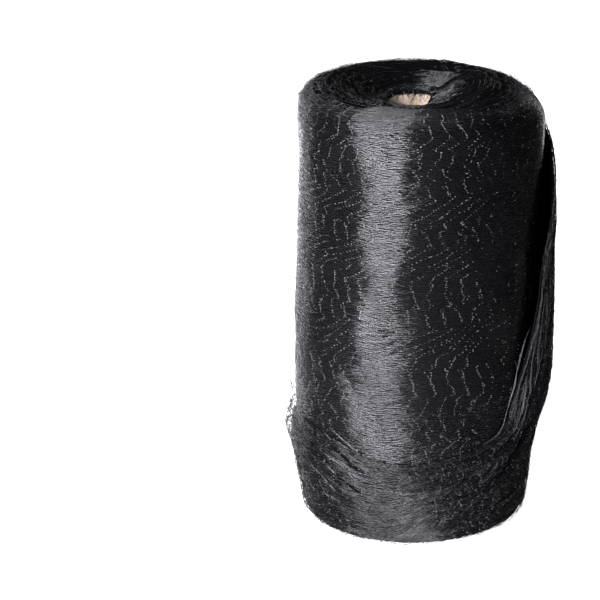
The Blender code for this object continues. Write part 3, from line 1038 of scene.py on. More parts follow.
def curl_density(azimuth, radius):
    """Share of the loops that are there: most on the left and on the right edge, few at the back."""
    left = math.exp(-(math.remainder(azimuth - math.radians(178.0), TURN) / 0.62) ** 2)
    right = math.exp(-(math.remainder(azimuth, TURN) / 0.60) ** 2) * blend_step(radius, 0.074, 0.094)
    return 0.04 + 0.22 * left + 0.55 * right


def top_curls(form, seed, count):
    """Small slack loops of thread that stand and lie on the top."""
    rng = np.random.default_rng(seed)
    lines = []
    for _ in range(count):
        radius = math.sqrt(rng.uniform(0.034 ** 2, 0.102 ** 2))
        azimuth = rng.uniform(0.0, TURN)
        if rng.random() > curl_density(azimuth, radius):
            continue
        size = rng.uniform(0.0014, 0.0036)
        turn = rng.normal(-0.6, 0.7)
        sweep = np.linspace(0.0, rng.uniform(2.6, 4.4), 8)
        ahead = size * np.cos(sweep + turn) + rng.normal(0.0, 0.0004) * sweep
        inward = size * rng.uniform(0.5, 1.0) * np.sin(sweep + turn)
        lift = 0.0004 + rng.uniform(0.0002, 0.0020) * np.sin(sweep / sweep[-1] * math.pi)
        reach = np.clip(radius + inward, TOP_INNER, 0.104)
        station = form.station_at_radius(reach)
        lines.append(form.place(azimuth + ahead / radius, station, lift)[0])
    return lines


def fold_sheaf(form, seed, count):
    """Threads that run round the top behind the mouth, up to the edge of the fold."""
    rng = np.random.default_rng(seed)
    lines = []
    steps = np.linspace(-0.5, 0.5, 7)
    for _ in range(count):
        radius = rng.uniform(0.032, 0.060)
        length = rng.uniform(0.007, 0.020)
        middle = math.radians(rng.uniform(50.0, 80.0)) + rng.normal(0.0, 0.06)
        reach = radius + (rng.normal(-0.20, 0.16) * steps + rng.normal(0.0, 0.02, 7)) * length
        azimuth = np.maximum(middle + steps * length / radius, math.radians(46.0) + 0.03 * steps)
        lift = 0.0003 + rng.uniform(0.0, 0.0012) * np.cos(math.pi * steps)
        lines.append(form.place(azimuth, form.station_at_radius(reach), lift)[0])
    return lines


def lip_threads(form, seed, count):
    """Threads that run round the rounded edge of the mouth."""
    rng = np.random.default_rng(seed)
    first, last = float(form.station_at_radius(0.036)), form.top[-1] - 2.8
    lines = []
    for _ in range(count):
        steps = np.linspace(0.0, rng.uniform(0.3, 1.1), 10)
        station = rng.uniform(first, last) + rng.normal(0.0, 1.2) * steps + rng.normal(0.0, 0.25, 10)
        lift = 0.0002 + np.abs(rng.normal(0.0, 0.0003, 10))
        lines.append(form.place(rng.uniform(0.0, TURN) + steps, np.clip(station, first, last), lift)[0])
    return lines


def mouth_drape(form, seed, count):
    """Threads that run down from the raised fold over the edge of the mouth."""
    rng = np.random.default_rng(seed)
    lines = []
    lip_end = form.top[-1]
    for _ in range(count):
        start = math.radians(rng.uniform(-58.0, 38.0))
        end = start + math.radians(rng.normal(-14.0, 10.0))
        steps = np.linspace(0.0, 1.0, 12)
        top = form.station_at_radius(rng.uniform(0.033, 0.047))
        bottom = lip_end - rng.uniform(3.0, 8.0)
        station = top + (bottom - top) * steps ** rng.uniform(0.8, 1.1)
        bend = rng.normal(0.0, 0.08) * np.sin(math.pi * steps) + rng.normal(0.0, 0.01, 12)
        lift = 0.0004 + rng.uniform(0.0, 0.0016) * np.sin(math.pi * steps)
        lines.append(form.place(start + (end - start) * steps + bend, station, lift)[0])
    return lines


# The fringe hangs round this azimuth in degrees, with this spread
FRINGE_AZIMUTH = (72.0, 35.0)


def mouth_fringe(form, seed, count):
    """Short ends of net that hang over the rim of the core at the back of the mouth."""
    rng = np.random.default_rng(seed)
    ends = np.array((form.station_at_radius(0.034), form.top[-1] - 5.0))
    lines = []
    for _ in range(count):
        azimuth = math.radians(rng.normal(*FRINGE_AZIMUTH))
        start, lip = form.place(np.full(2, azimuth), ends, np.array((0.0003, 0.0002)))[0]
        inward = -np.array((math.cos(azimuth), math.sin(azimuth), 0.0))
        sideways = np.array((-math.sin(azimuth), math.cos(azimuth), 0.0))
        axis = np.array((CORE_X, 0.0, lip[2]))
        end = axis - inward * rng.uniform(0.0225, 0.0240) + sideways * rng.normal(0.0, 0.0045)
        end[2] = CORE_HIGH.z + 0.001 - rng.exponential(0.0022)
        steps = np.linspace(0.0, 1.0, 8)[:, None]
        corner = lip + inward * 0.0010 + sideways * rng.normal(0.0, 0.0030) + (0.0, 0.0, 0.0014)
        lines.append((1.0 - steps) ** 2 * start + 2.0 * steps * (1.0 - steps) * corner
                     + steps ** 2 * end)
    return lines


# Loose lap

def lap_creases(u, v):
    """Fine creases that run along the lap between its two edges."""
    rng = np.random.default_rng(71)
    total = np.zeros(np.broadcast(u, v).shape)
    for _ in range(9):
        count, sway = rng.uniform(4.0, 17.0), rng.uniform(0.5, 3.0)
        phase, lean, other = rng.uniform(0.0, TURN, 3)
        total = total + np.cos(TURN * count * v + phase + sway * np.sin(TURN * 1.7 * u + lean)
                               + 1.2 * np.sin(TURN * 4.1 * u + other))
    return 0.00034 * total / 3.0


# Dark creases and raised bundles of the lap, each with its depth or height, its half width and
# its path: azimuth, height, azimuth, height and so on
LAP_CREASES = (
    (-0.0026, 0.0020, (-146.0, 0.118, -133.0, 0.097, -120.0, 0.080, -110.0, 0.071)),
    (-0.0023, 0.0018, (-143.0, 0.092, -131.0, 0.071, -119.0, 0.056, -110.0, 0.048)),
    (-0.0012, 0.0020, (-150.0, 0.085, -140.0, 0.063, -128.0, 0.047, -114.0, 0.036)),
    (-0.0018, 0.0030, (-33.0, 0.128, -41.0, 0.098, -55.0, 0.082, -70.0, 0.074)),
    (-0.0022, 0.0034, (-24.0, 0.110, -34.0, 0.082, -46.0, 0.060, -62.0, 0.046)),
    (0.0014, 0.0034, (-28.0, 0.122, -38.0, 0.090, -50.0, 0.070, -66.0, 0.058)),
    (0.0016, 0.0034, (-20.0, 0.102, -27.0, 0.078, -37.0, 0.056, -48.0, 0.040)),
    (0.0014, 0.0030, (-148.0, 0.106, -136.0, 0.084, -122.0, 0.066, -110.0, 0.056)),
)


def unrolled_path(path):
    """Places of a path on the unrolled lap, and how far along it each of them is."""
    knots = np.array(path).reshape(-1, 2) * (math.radians(1.0) * MEAN_RADIUS, 1.0)
    return knots, np.concatenate(((0.0,), np.cumsum(np.hypot(*np.diff(knots, axis=0).T))))


def along_path(azimuth, height, path):
    """Distance from a path on the unrolled lap, and how far along it the nearest place is."""
    x, y = azimuth * MEAN_RADIUS, height
    knots, _ = unrolled_path(path)
    nearest = np.full(x.shape, 9.0)
    share = np.zeros(x.shape)
    for i, (start, end) in enumerate(zip(knots, knots[1:])):
        way = end - start
        part = np.clip(((x - start[0]) * way[0] + (y - start[1]) * way[1]) / way.dot(way), 0.0, 1.0)
        gap = np.hypot(x - start[0] - part * way[0], y - start[1] - part * way[1])
        closer = gap < nearest
        nearest = np.where(closer, gap, nearest)
        share = np.where(closer, (i + part) / (len(knots) - 1), share)
    return nearest, share


def crease_lift(azimuth, height):
    """Depth of the dark creases and height of the raised bundles."""
    lift = 0.0 * azimuth
    for size, half_width, path in LAP_CREASES:
        gap, share = along_path(azimuth, height, path)
        fade = blend_step(share, 0.0, 0.25) * blend_step(1.0 - share, 0.0, 0.35)
        lift = lift + size * fade * np.exp(-(gap / half_width) ** 2)
    return lift


def lap_lift(u, v):
    """Relief of the lap over its plain form: creases, bundles, and edges that lie down."""
    u, v = np.clip(u, 0.0, 1.0), np.clip(v, 0.0, 1.0)
    lap = lap_form()
    azimuth, height = lap.plan(u, v)
    edge = blend_step(v, 0.0, 0.03) * blend_step(1.0 - v, 0.0, 0.03)
    lift = lap_creases(u, v) * (0.3 + 0.7 * edge) + crease_lift(azimuth, height)
    upper, upper_height = lap.plan(u, 0.0 * v)
    from_edge = np.hypot((azimuth - upper) * MEAN_RADIUS, height - upper_height)
    lying = 1.0 - blend_step(np.degrees(upper), -48.0, -34.0)
    lift = lift - 0.0034 * lying * (1.0 - blend_step(from_edge, 0.0, 0.013))
    tucked = 1.0 - blend_step(np.degrees(azimuth), -196.0, -160.0)
    away = (1.0 - blend_step(np.degrees(azimuth), -178.0, -150.0)) * blend_step(height, 0.088, 0.104)
    return lift - 0.0030 * tucked - 0.0060 * away


def build_lap_skin(material):
    """Skin of the loose lap, with ragged edges and a thickness."""
    lap = lap_form()
    u, v = np.meshgrid(lap.u, lap.v, indexing="ij")
    ragged = RowNoise(83, 2, 1.0, 0.006)
    upper = 0.008 * np.abs(ragged.read(0, u))
    lower = 0.008 * np.abs(ragged.read(1, u))
    u = u * (0.995 - 0.008 * np.abs(ragged.read(1, v)))
    v = upper + (1.0 - upper - lower) * v
    points, _ = lap.place(u, v, lap_lift(u, v) - LAP_SKIN_DROP)
    columns, rows = u.shape
    faces, places = grid_faces(columns, rows)
    around = places[..., 0] / (columns - 1) * lap.length
    up = lap.v[places[..., 1]] * 0.2
    piece = mesh_piece("lap_skin", points, faces, material, around, up)
    shell = bmesh.new()
    shell.from_mesh(piece.data)
    bmesh.ops.recalc_face_normals(shell, faces=shell.faces)
    centre = Vector((CORE_X, 0.0, 0.0))
    outward = sum(1 if (f.calc_center_median() - centre).to_2d().dot(f.normal.to_2d()) > 0 else -1
                  for f in shell.faces)
    if outward < 0:
        bmesh.ops.reverse_faces(shell, faces=shell.faces)
    shell.to_mesh(piece.data)
    shell.free()
    thicken = piece.modifiers.new("Thickness", "SOLIDIFY")
    thicken.thickness = LAP_SKIN_THICKNESS
    thicken.offset = -1.0
    graph = bpy.context.evaluated_depsgraph_get()
    solid = bpy.data.meshes.new_from_object(piece.evaluated_get(graph))
    piece.modifiers.clear()
    piece.data, thin = solid, piece.data
    bpy.data.meshes.remove(thin)
    solid.name = "lap_skin"
    solid.shade_smooth()
    return piece


def swag(lap, u):
    """Share of the threads at the lap's hem that is above the floor, least round the front left."""
    azimuth, _ = lap.plan(u, 0.0 * u)
    return 0.56 + 0.44 * blend_step(np.degrees(azimuth), -114.0, -58.0)


def hanging_strips(lap, u, v):
    """Whether a place is in a gap between the strips that the hanging part of the lap falls into."""
    azimuth, _ = lap.plan(u, v)
    strips = wave_field(v * TURN, u, seed=47, waves=12, turns=(26, 90), rises=(0.0, 2.5))
    degrees = np.degrees(azimuth)
    hanging = blend_step(degrees, -50.0, -34.0) * (1.0 - blend_step(degrees, -16.0, -7.0))
    return strips < -3.0 + 3.3 * hanging


def lap_net(lap, seed, threads, start_u, end_u, phase):
    """Lines of thread and knot places of the net along the lap."""
    layer = NetLayer(seed, 0.0, 1.0, 1.0 / threads)
    rng = layer.rng
    first = int(start_u * lap.length / LAP_MESH)
    rows = np.arange(first, int(lap.length / LAP_MESH) + 3)
    row, middle, place = layer.knots(rows)
    meander = RowNoise(seed + 1, len(rows) + first + 1, 1.2, 0.05).read(row, middle)
    swell = RowNoise(seed + 2, len(rows) + first + 1, 1.2, 0.07).read(row, middle)
    drift = 0.9 * np.interp(middle, (0.0, 0.25, 0.4, 0.6, 0.75, 1.0), (0.0, 0.9, 0.2, 1.3, 0.7, 1.8))
    u = (row + phase + drift - 1.0 + 0.16 * meander) * LAP_MESH / lap.length
    v = place + 0.007 * wave_field(
        u * TURN, middle * 0.3, seed=seed + 3, waves=9, turns=(5, 26), rises=(5.0, 34.0))
    v = v / swag(lap, np.clip(u, 0.0, 1.0))
    up = 0.00005 + 0.00022 * swell + rng.normal(0.0, 0.00008, u.shape)
    along, across, up = [spans(values, LAP_SPAN_STEPS) for values in (u, v, up)]
    between = np.arange(along.shape[1]) % len(LAP_SPAN_STEPS) != 0
    up = up + rng.exponential(0.00026, up.shape) * between
    across = across + rng.normal(0.0, 0.0045, across.shape) * between
    across = across + 0.0035 * wave_field(
        along * TURN, across, seed=seed + 4, waves=12, turns=(24, 90), rises=(40.0, 110.0))
    up = np.maximum(up, -0.0003) + lap_lift(along, across)
    inside = np.clip(along, 0.0, 1.0), np.clip(across, 0.0, 1.0)
    points, _ = lap.place(*inside, up)
    shown = (along > start_u) & (along < end_u) & (across > -0.004) & (across < 1.004)
    shown &= ~hanging_strips(lap, *inside) & (crease_lift(*lap.plan(*inside)) > -0.0017)
    lines = [line for thread, seen in zip(points, shown) for line in split_runs(thread, seen)]
    knot_u, knot_v = np.clip(u, 0.0, 1.0), np.clip(v, 0.0, 1.0)
    lift = lap_lift(u, knot_v)
    knot_points, outward = lap.place(knot_u, knot_v, lift + 0.0004)
    ahead, _ = lap.place(np.clip(u + 0.004, 0.0, 1.0), knot_v, lift + 0.0003)
    own = ((row + np.arange(layer.count)[:, None]) % 2 == 1) & (rng.random(u.shape) < 0.6)
    seen = own & (u > start_u) & (u < min(end_u, 0.995)) & (v < 1.0)
    seen &= ~hanging_strips(lap, knot_u, knot_v)
    return lines, (knot_points[seen], (ahead - knot_points)[seen], outward[seen])


def lap_edge_strands(lap, seed, count):
    """Single bright strands that follow the lap's free edge."""
    rng = np.random.default_rng(seed)
    lines = []
    for _ in range(count):
        start = rng.uniform(0.02, 0.8)
        stop = min(0.995, start + rng.uniform(0.05, 0.3))
        u = np.linspace(start, stop, int((stop - start) * lap.length / 0.004) + 4)
        across = rng.uniform(0.0, 0.03) + 0.006 * np.abs(soft_noise(rng, 0.04, u))
        lift = 0.0004 + 0.0006 * np.abs(soft_noise(rng, 0.03, u))
        lines.append(lap.place(u, across, lift)[0])
    return lines


# Loose strands on the lap: how many, half the bundle's width, the least radius, or less than nothing
# for strands that keep that radius under the lap, and the path as azimuth, height, azimuth and so on
LAP_BUNDLES = (
    (5, 0.0004, 0.1125, (-22.0, 0.2183, -25.3, 0.1942, -27.4, 0.172, -29.3, 0.1515, -29.5, 0.1293,
                      -31.5, 0.1115, -35.9, 0.1009, -41.0, 0.0925)),
    (12, 0.0014, 0.0, (-31.2, 0.166, -31.8, 0.1495, -33.1, 0.1323, -36.4, 0.1143,
                       -39.6, 0.1008, -48.7, 0.0932, -56.7, 0.0894)),
    (5, 0.0007, 0.0, (-19.1, 0.2306, -19.1, 0.2105, -17.1, 0.1866, -16.7, 0.1647, -20.1, 0.1485)),
    (4, 0.0006, 0.0, (-14.1, 0.2412, -13.2, 0.216, -15.1, 0.1899, -15.6, 0.1759)),
    (5, 0.0007, 0.0, (-19.9, 0.217, -21.5, 0.1972, -23.4, 0.1766, -24.8, 0.1539, -25.1, 0.1327)),
    (3, 0.0003, -0.1136, (-28.3, 0.1966, -34.1, 0.1882, -37.5, 0.1721, -40.7, 0.1529, -43.1, 0.1389,
                         -46.0, 0.1264, -49.1, 0.1098, -54.1, 0.1049, -60.3, 0.1018)),
    (8, 0.0012, 0.0, (-35.5, 0.0795, -46.8, 0.0805, -52.4, 0.0781, -59.2, 0.0743, -66.8, 0.0704)),
    (8, 0.0014, 0.0, (-38.0, 0.0721, -46.8, 0.0697, -53.6, 0.0656, -58.8, 0.0606)),
    (5, 0.001, 0.0, (-40.0, 0.0712, -45.1, 0.0611, -50.0, 0.0539)),
    (4, 0.001, 0.0, (-46.8, 0.0805, -52.4, 0.0695, -55.0, 0.0606)),
    (2, 0.0004, 0.0, (-46.0, 0.036, -52.1, 0.0299, -59.5, 0.0251, -66.6, 0.021, -72.4, 0.0163,
                      -78.3, 0.0118)),
    (3, 0.0005, 0.0, (-133.7, 0.1104, -128.5, 0.1052, -122.8, 0.0981, -117.4, 0.0944)),
    (4, 0.0006, 0.0, (-138.0, 0.1041, -129.3, 0.0955, -121.4, 0.0877, -114.1, 0.0827)),
    (5, 0.0008, 0.0, (-141.9, 0.0887, -133.3, 0.0845, -125.7, 0.0763, -117.0, 0.0704, -111.1, 0.0673)),
    (4, 0.0007, 0.0, (-138.5, 0.0777, -131.1, 0.0683, -122.4, 0.0603, -112.5, 0.0557)),
    (3, 0.0006, 0.0, (-161.2, 0.0739, -147.0, 0.0698, -138.2, 0.0573, -130.2, 0.0474)),
    (2, 0.0003, 0.0, (-161.2, 0.0519, -159.2, 0.0404, -154.7, 0.0357)),
    (2, 0.0003, 0.0, (-154.8, 0.0517, -151.5, 0.0444, -147.7, 0.0409)),
    (2, 0.0003, 0.0, (-142.7, 0.0545, -140.6, 0.0457, -135.9, 0.0415)),
)
# Rows of knots that stand out on the lap: how far apart the knots are, and the path
LAP_CHAINS = (
    (0.0034, (-96.3, 0.0996, -85.9, 0.1052, -74.4, 0.1084, -62.2, 0.1079)),
    (0.0034, (-92.4, 0.0951, -81.9, 0.1002, -70.3, 0.1027, -57.7, 0.1015)),
    (0.0034, (-88.5, 0.0904, -78.0, 0.0949, -66.0, 0.0969, -52.9, 0.0948)),
    (0.0034, (-84.6, 0.0854, -73.9, 0.0895, -61.7, 0.0907, -47.8, 0.0877)),
    (0.0034, (-80.6, 0.0803, -69.8, 0.0838, -57.1, 0.0843, -42.3, 0.0802)),
    (0.0034, (-76.6, 0.075, -65.6, 0.0779, -52.3, 0.0776, -36.1, 0.072)),
    (0.0034, (-72.6, 0.0695, -61.2, 0.0718, -47.2, 0.0705, -28.8, 0.0629)),
    (0.0014, (-83.0, 0.0517, -79.9, 0.045, -82.3, 0.0384, -79.2, 0.0318, -82.7, 0.0241)),
    (0.0014, (-75.7, 0.0588, -71.8, 0.0503, -73.6, 0.0414, -76.1, 0.0339, -79.2, 0.0257)),
    (0.0014, (-73.1, 0.0648, -67.6, 0.0549, -68.9, 0.0451, -73.0, 0.0362, -76.5, 0.028)),
    (0.0014, (-66.9, 0.0657, -62.0, 0.0558, -64.5, 0.0465, -68.7, 0.038, -72.9, 0.0312)),
    (0.0014, (-57.5, 0.0657, -54.0, 0.0568, -57.5, 0.0475, -62.7, 0.038, -66.9, 0.0312)),
)


def finished_faces(*names):
    """Faces of finished skins together, to lay strands on."""
    points, faces = [], []
    for name in names:
        mesh = bpy.data.objects[name].data
        first = len(points)
        points += [v.co for v in mesh.vertices]
        faces += [[first + i for i in p.vertices] for p in mesh.polygons]
    return BVHTree.FromPolygons(points, faces)


def lay_on(skins, azimuth, height, lift, least_radius=0.0):
    """Points lifted off the outermost skin at azimuths and heights, no nearer than the least radius."""
    points = []
    for a, z, up in zip(azimuth, height, lift):
        way = Vector((math.cos(a), math.sin(a), 0.0))
        axis = Vector((CORE_X, 0.0, z))
        hit, normal, _, _ = skins.ray_cast(axis + way * 0.16, -way)
        if hit is None:
            raise RuntimeError(f"no skin at azimuth {math.degrees(a):.0f}, height {z:.3f}")
        normal = normal if normal.dot(way) > 0.0 else -normal
        point = hit + normal * up if least_radius >= 0.0 else axis - way * (least_radius - up)
        short = least_radius - (point - axis).dot(way)
        points.append(point + way * max(short, 0.0))
    return np.array(points)


def laid_strands(skins, seed):
    """Bundles of strands that lie along the paths of the bundle table."""
    rng = np.random.default_rng(seed)
    lines = []
    for count, half_width, least_radius, path in LAP_BUNDLES:
        knots, run = unrolled_path(path)
        fine = np.linspace(0.0, run[-1], 120)
        course = np.stack([np.interp(fine, run, knots[:, k]) for k in (0, 1)], 1)
        for _ in range(60):
            course[1:-1] = 0.25 * course[:-2] + 0.5 * course[1:-1] + 0.25 * course[2:]
        side = np.gradient(course, axis=0) @ np.array(((0.0, 1.0), (-1.0, 0.0)))
        side /= np.linalg.norm(side, axis=1, keepdims=True)
        for _ in range(count):
            start, stop = rng.uniform(0.0, 0.30), rng.uniform(0.70, 1.0)
            if count < 4:
                start, stop = rng.uniform(0.0, 0.05), rng.uniform(0.9, 1.0)
            steps = np.linspace(start, stop, max(6, int((stop - start) * run[-1] / 0.0045)))
            weave = soft_noise(rng, 0.22, steps)
            offset = half_width * (rng.normal(0.0, 0.7) + 0.5 * weave)
            at = steps * run[-1]
            place = [np.interp(at, fine, course[:, k]) + offset * np.interp(at, fine, side[:, k])
                     for k in (0, 1)]
            lift = 0.0005 + 0.0007 * np.abs(soft_noise(rng, 0.15, steps))
            points = lay_on(skins, place[0] / MEAN_RADIUS, place[1], lift, least_radius)
            gaps = soft_noise(rng, 0.09, steps)
            lines += split_runs(points, (gaps > -0.6) | (count < 4), 2)
    return lines


def chain_knots(skins, seed):
    """Knots along the rows of the chain table."""
    rng = np.random.default_rng(seed)
    places = []
    for apart, path in LAP_CHAINS:
        knots, run = unrolled_path(path)
        at = np.arange(0.0, run[-1], apart)
        at = at + rng.normal(0.0, 0.12 * apart, math.ceil(run[-1] / apart))
        course = np.stack([np.interp(at, run, knots[:, k]) for k in (0, 1)], 1)
        course += rng.normal(0.0, 0.0003, course.shape)
        shown = rng.random(len(at)) > 0.15
        places.append(course[shown])
    place = np.concatenate(places)
    azimuth = place[:, 0] / MEAN_RADIUS
    points = lay_on(skins, azimuth, place[:, 1], np.full(len(place), 0.0009))
    along = np.stack((-np.sin(azimuth), np.cos(azimuth), 0.0 * azimuth), 1)
    outward = np.stack((np.cos(azimuth), np.sin(azimuth), 0.0 * azimuth), 1)
    return points, along, outward


def open_patch(skins, seed):
    """Open meshes of the tucked start that stand off the roll: threads, and knots where they meet."""
    rng = np.random.default_rng(seed)
    lines, knots, along, outward = [], [], [], []
    azimuth = np.radians(np.arange(-204.0, -166.0, 0.9))
    share = np.linspace(0.0, 1.0, len(azimuth))
    degrees = np.degrees(azimuth)
    stand = blend_step(degrees, -204.0, -186.0) * (1.0 - blend_step(degrees, -182.0, -166.0))
    for k, height in enumerate(np.arange(0.062, 0.128, 0.0010)):
        if rng.random() > 1.0 - 0.8 * float(blend_step(height, 0.090, 0.106)):
            continue
        zigzag = 0.0008 * np.where((np.arange(len(azimuth)) + k) % 2 == 0, 1.0, -1.0)
        place = height + zigzag + rng.normal(0.0, 0.0005, len(azimuth))
        rise = float(blend_step(height, 0.056, 0.086) * (1.0 - 0.20 * blend_step(height, 0.100, 0.127)))
        lift = 0.0004 + 0.0070 * stand * rise * rng.uniform(0.55, 1.0)
        lift = lift + np.abs(rng.normal(0.0, 0.0005, len(azimuth)))
        points = lay_on(skins, azimuth, place, lift)
        lines += split_runs(points, soft_noise(rng, 0.12, share) > -0.5)
        for i in range(2 + k % 2, len(azimuth) - 1, 2):
            way = points[i] - (CORE_X, 0.0, points[i][2])
            knots.append(points[i])
            along.append(points[i + 1] - points[i])
            outward.append(way / np.linalg.norm(way))
    return lines, (np.array(knots), np.array(along), np.array(outward))


def lap_curls(lap, seed, count):
    """Slack loops and short ends along the lap and its edges."""
    rng = np.random.default_rng(seed)
    lines = []
    for _ in range(count):
        u = rng.uniform(0.01, 0.99)
        v = rng.choice((rng.uniform(0.0, 0.03), rng.uniform(0.0, 1.0), rng.uniform(0.97, 1.0)))
        size = rng.uniform(0.0015, 0.0045)
        turn = rng.uniform(0.0, TURN)
        sweep = np.linspace(0.0, rng.uniform(2.4, 4.6), 7)
        along = u + size * np.cos(sweep + turn) / lap.length
        down = v + size * np.sin(sweep + turn) / 0.2
        lift = 0.0003 + rng.uniform(0.0004, 0.0018) * np.sin(sweep / sweep[-1] * math.pi)
        lines.append(lap.place(np.clip(along, 0.0, 1.0), np.clip(down, 0.0, 1.0), lift)[0])
    return lines


# Core tube

CORE_COLUMNS = 96
CORE_STEP = 0.0050
PLY_PITCH = 0.105


def build_core(material, wall):
    """Cardboard tube: spiral plies, a soft worn rim and a plain bore, all one closed wall."""
    low, high = CORE_LOW.z, CORE_HIGH.z
    inner = CORE_OUTER - wall
    heights = np.linspace(low + 0.0004, high - 0.0006, int((high - low) / CORE_STEP))
    section = [(CORE_OUTER, z, "out") for z in heights]
    section += [(CORE_OUTER - 0.0005, high - 0.0001, "rim"), (CORE_OUTER - 0.0014, high, "rim"),
                (inner + 0.0014, high, "rim"), (inner + 0.0005, high - 0.0001, "rim")]
    section += [(inner, z, "in") for z in heights[::-1]]
    section += [(inner + 0.0005, low, "base"), (CORE_OUTER - 0.0005, low, "base")]
    azimuth = np.linspace(0.0, TURN, CORE_COLUMNS, endpoint=False)[:, None]
    radii, levels, kinds = [np.array(part) for part in zip(*section)]
    radius, height = radii[None, :] + 0.0 * azimuth, levels[None, :] + 0.0 * azimuth
    inside, rim = (kinds == "in")[None, :], (kinds == "rim")[None, :]
    # The seam of the innermost ply winds up the bore
    turn = azimuth / TURN - height / PLY_PITCH
    gap = np.abs((turn - np.floor(turn)) - 0.5) * PLY_PITCH
    seam = 0.00022 * (1.0 - blend_step(gap, 0.0004, 0.0030))
    radius = np.where(inside, radius + seam - 0.00022, radius)
    fray = 0.00035 * wave_field(
        azimuth, height * 0.0, seed=41, waves=9, turns=(3, 40), rises=(0.0, 1.0))
    height = np.where(rim, height - np.abs(fray), height)
    radius = np.where(rim, radius + 0.5 * fray * (radius - inner - wall / 2.0) / wall, radius)
    faces, places = grid_faces(CORE_COLUMNS, len(section), True, True)
    around = places[..., 0] * TURN / CORE_COLUMNS * inner
    run = np.cumsum(np.concatenate(((0.0,), np.hypot(np.diff(radii), np.diff(levels)))))
    up = np.append(run, run[-1] + 0.003)[places[..., 1]]
    return mesh_piece("card_core", round_axis(azimuth, radius, height), faces, material, around, up)


def card_material(name, pale, dark):
    """Bare card: fibres along the tube, blots, and creases painted darker as shade."""
    if name in bpy.data.materials:
        return bpy.data.materials[name]
    material, tree, shader = plain_material(name)
    place = tree.nodes.new("ShaderNodeTexCoord").outputs["Object"]
    stretched = add_node(tree, "ShaderNodeMapping", {
        "Vector": place, "Scale": (1.0, 1.0, 0.18)}).outputs[0]
    fibres = noise_node(tree, stretched, scale=900.0, detail=5.0, roughness=0.7)
    blots = noise_node(tree, place, scale=70.0, detail=4.0, roughness=0.6)
    tone = math_node(tree, "MULTIPLY_ADD", fibres, 0.55, blots)
    colour = mix_colour(tree, map_node(tree, tone, 0.55, 1.00, 0.0, 1.0), dark, pale)
    # Painted shade: thin lines along the edges of stretched cells are painted darker, for the shade in
    # the card's creases.
    folds = add_node(tree, "ShaderNodeTexVoronoi", {
        "Vector": stretched, "Scale": 60.0}, feature="DISTANCE_TO_EDGE")
    crease_shade = map_node(tree, folds.outputs["Distance"], 0.0, 0.035, 0.40, 0.0)
    relief = add_node(tree, "ShaderNodeBump", {"Strength": 0.6, "Distance": 0.0002, "Height": tone})
    for label, value in (
        ("Base Color", mix_colour(tree, crease_shade, colour, scaled(dark, 0.35))),
        ("Roughness", map_node(tree, fibres, 0.3, 0.7, 0.75, 0.95)),
        ("Specular IOR Level", 0.25),
        ("Normal", relief.outputs[0]),
    ):
        feed(tree, shader.inputs[label], value)
    return material


# Stage

FLOOR_HALF = 6.0


def aim(thing, azimuth, elevation, distance):
    """Places an object round the middle of the stage, by degrees, and turns it that way."""
    a, e = math.radians(azimuth), math.radians(elevation)
    way = Vector((math.cos(a) * math.cos(e), math.sin(a) * math.cos(e), math.sin(e)))
    thing.location = STAGE_CENTRE + way * distance
    thing.rotation_mode = "QUATERNION"
    thing.rotation_quaternion = (-way).to_track_quat("-Z", "Y")


def add_light(name, azimuth, elevation, distance, size, power, colour):
    """Soft rectangular light."""
    data = bpy.data.lights.new(name, "AREA")
    data.shape = "RECTANGLE"
    data.size, data.size_y = size
    data.energy = power
    data.color = colour
    aim(add_object(name, data), azimuth, elevation, distance)


def backdrop_material(name, diffuse, glow):
    """Pale matt studio floor that also glows a little to the camera."""
    material, tree, shader = plain_material(name)
    tree.nodes.remove(shader)
    rays = tree.nodes.new("ShaderNodeLightPath")
    power = math_node(tree, "MULTIPLY", rays.outputs["Is Camera Ray"], glow)
    matt = add_node(tree, "ShaderNodeBsdfDiffuse", {"Color": diffuse})
    light = add_node(tree, "ShaderNodeEmission", {"Strength": power})
    both = add_node(tree, "ShaderNodeAddShader", {0: matt.outputs[0], 1: light.outputs[0]})
    tree.links.new(both.outputs[0], tree.nodes["Material Output"].inputs["Surface"])
    return material


def build_world(dim):
    """White to the camera, dim to everything else."""
    world = bpy.data.worlds.new("Studio")
    bpy.context.scene.world = world
    world.use_nodes = True
    tree = world.node_tree
    ground = tree.nodes["Background"]
    ground.inputs["Color"].default_value = (1.0, 1.0, 1.0, 1.0)
    rays = tree.nodes.new("ShaderNodeLightPath")
    power = math_node(tree, "MULTIPLY_ADD", rays.outputs["Is Camera Ray"], 1.0 - dim, dim)
    tree.links.new(power, ground.inputs["Strength"])


# Settings

class NettingThreadSettings(bpy.types.PropertyGroup):
    """Threads and knots of the wound net."""

    diameter: bpy.props.FloatProperty(
        name="Thread Diameter", description="Thickness of one drawn thread",
        default=0.00036, min=0.0001, max=0.001, precision=5, unit="LENGTH")
    spacing: bpy.props.FloatProperty(
        name="Thread Spacing", description="Distance from one thread to the next up the roll",
        default=0.00074, min=0.0004, max=0.004, precision=5, unit="LENGTH")
    knot_length: bpy.props.FloatProperty(
        name="Knot Length", description="Length of a knot along its thread",
        default=0.0013, min=0.0004, max=0.004, precision=5, unit="LENGTH")
    knot_width: bpy.props.FloatProperty(
        name="Knot Width", description="Thickness of a knot across its thread",
        default=0.00095, min=0.0003, max=0.003, precision=5, unit="LENGTH")
    knot_height: bpy.props.FloatProperty(
        name="Knot Height", description="How far a knot stands off the net",
        default=0.0005, min=0.0002, max=0.003, precision=5, unit="LENGTH")
    colour: bpy.props.FloatVectorProperty(
        name="Net Colour", description="Black of the clean net", subtype="COLOR", size=4,
        default=(0.0009, 0.0009, 0.0011, 1.0), min=0.0, max=1.0)
    dust: bpy.props.FloatVectorProperty(
        name="Dust Colour", description="Grey of the scuffed and dusty net", subtype="COLOR", size=4,
        default=(0.0042, 0.0042, 0.0046, 1.0), min=0.0, max=1.0)


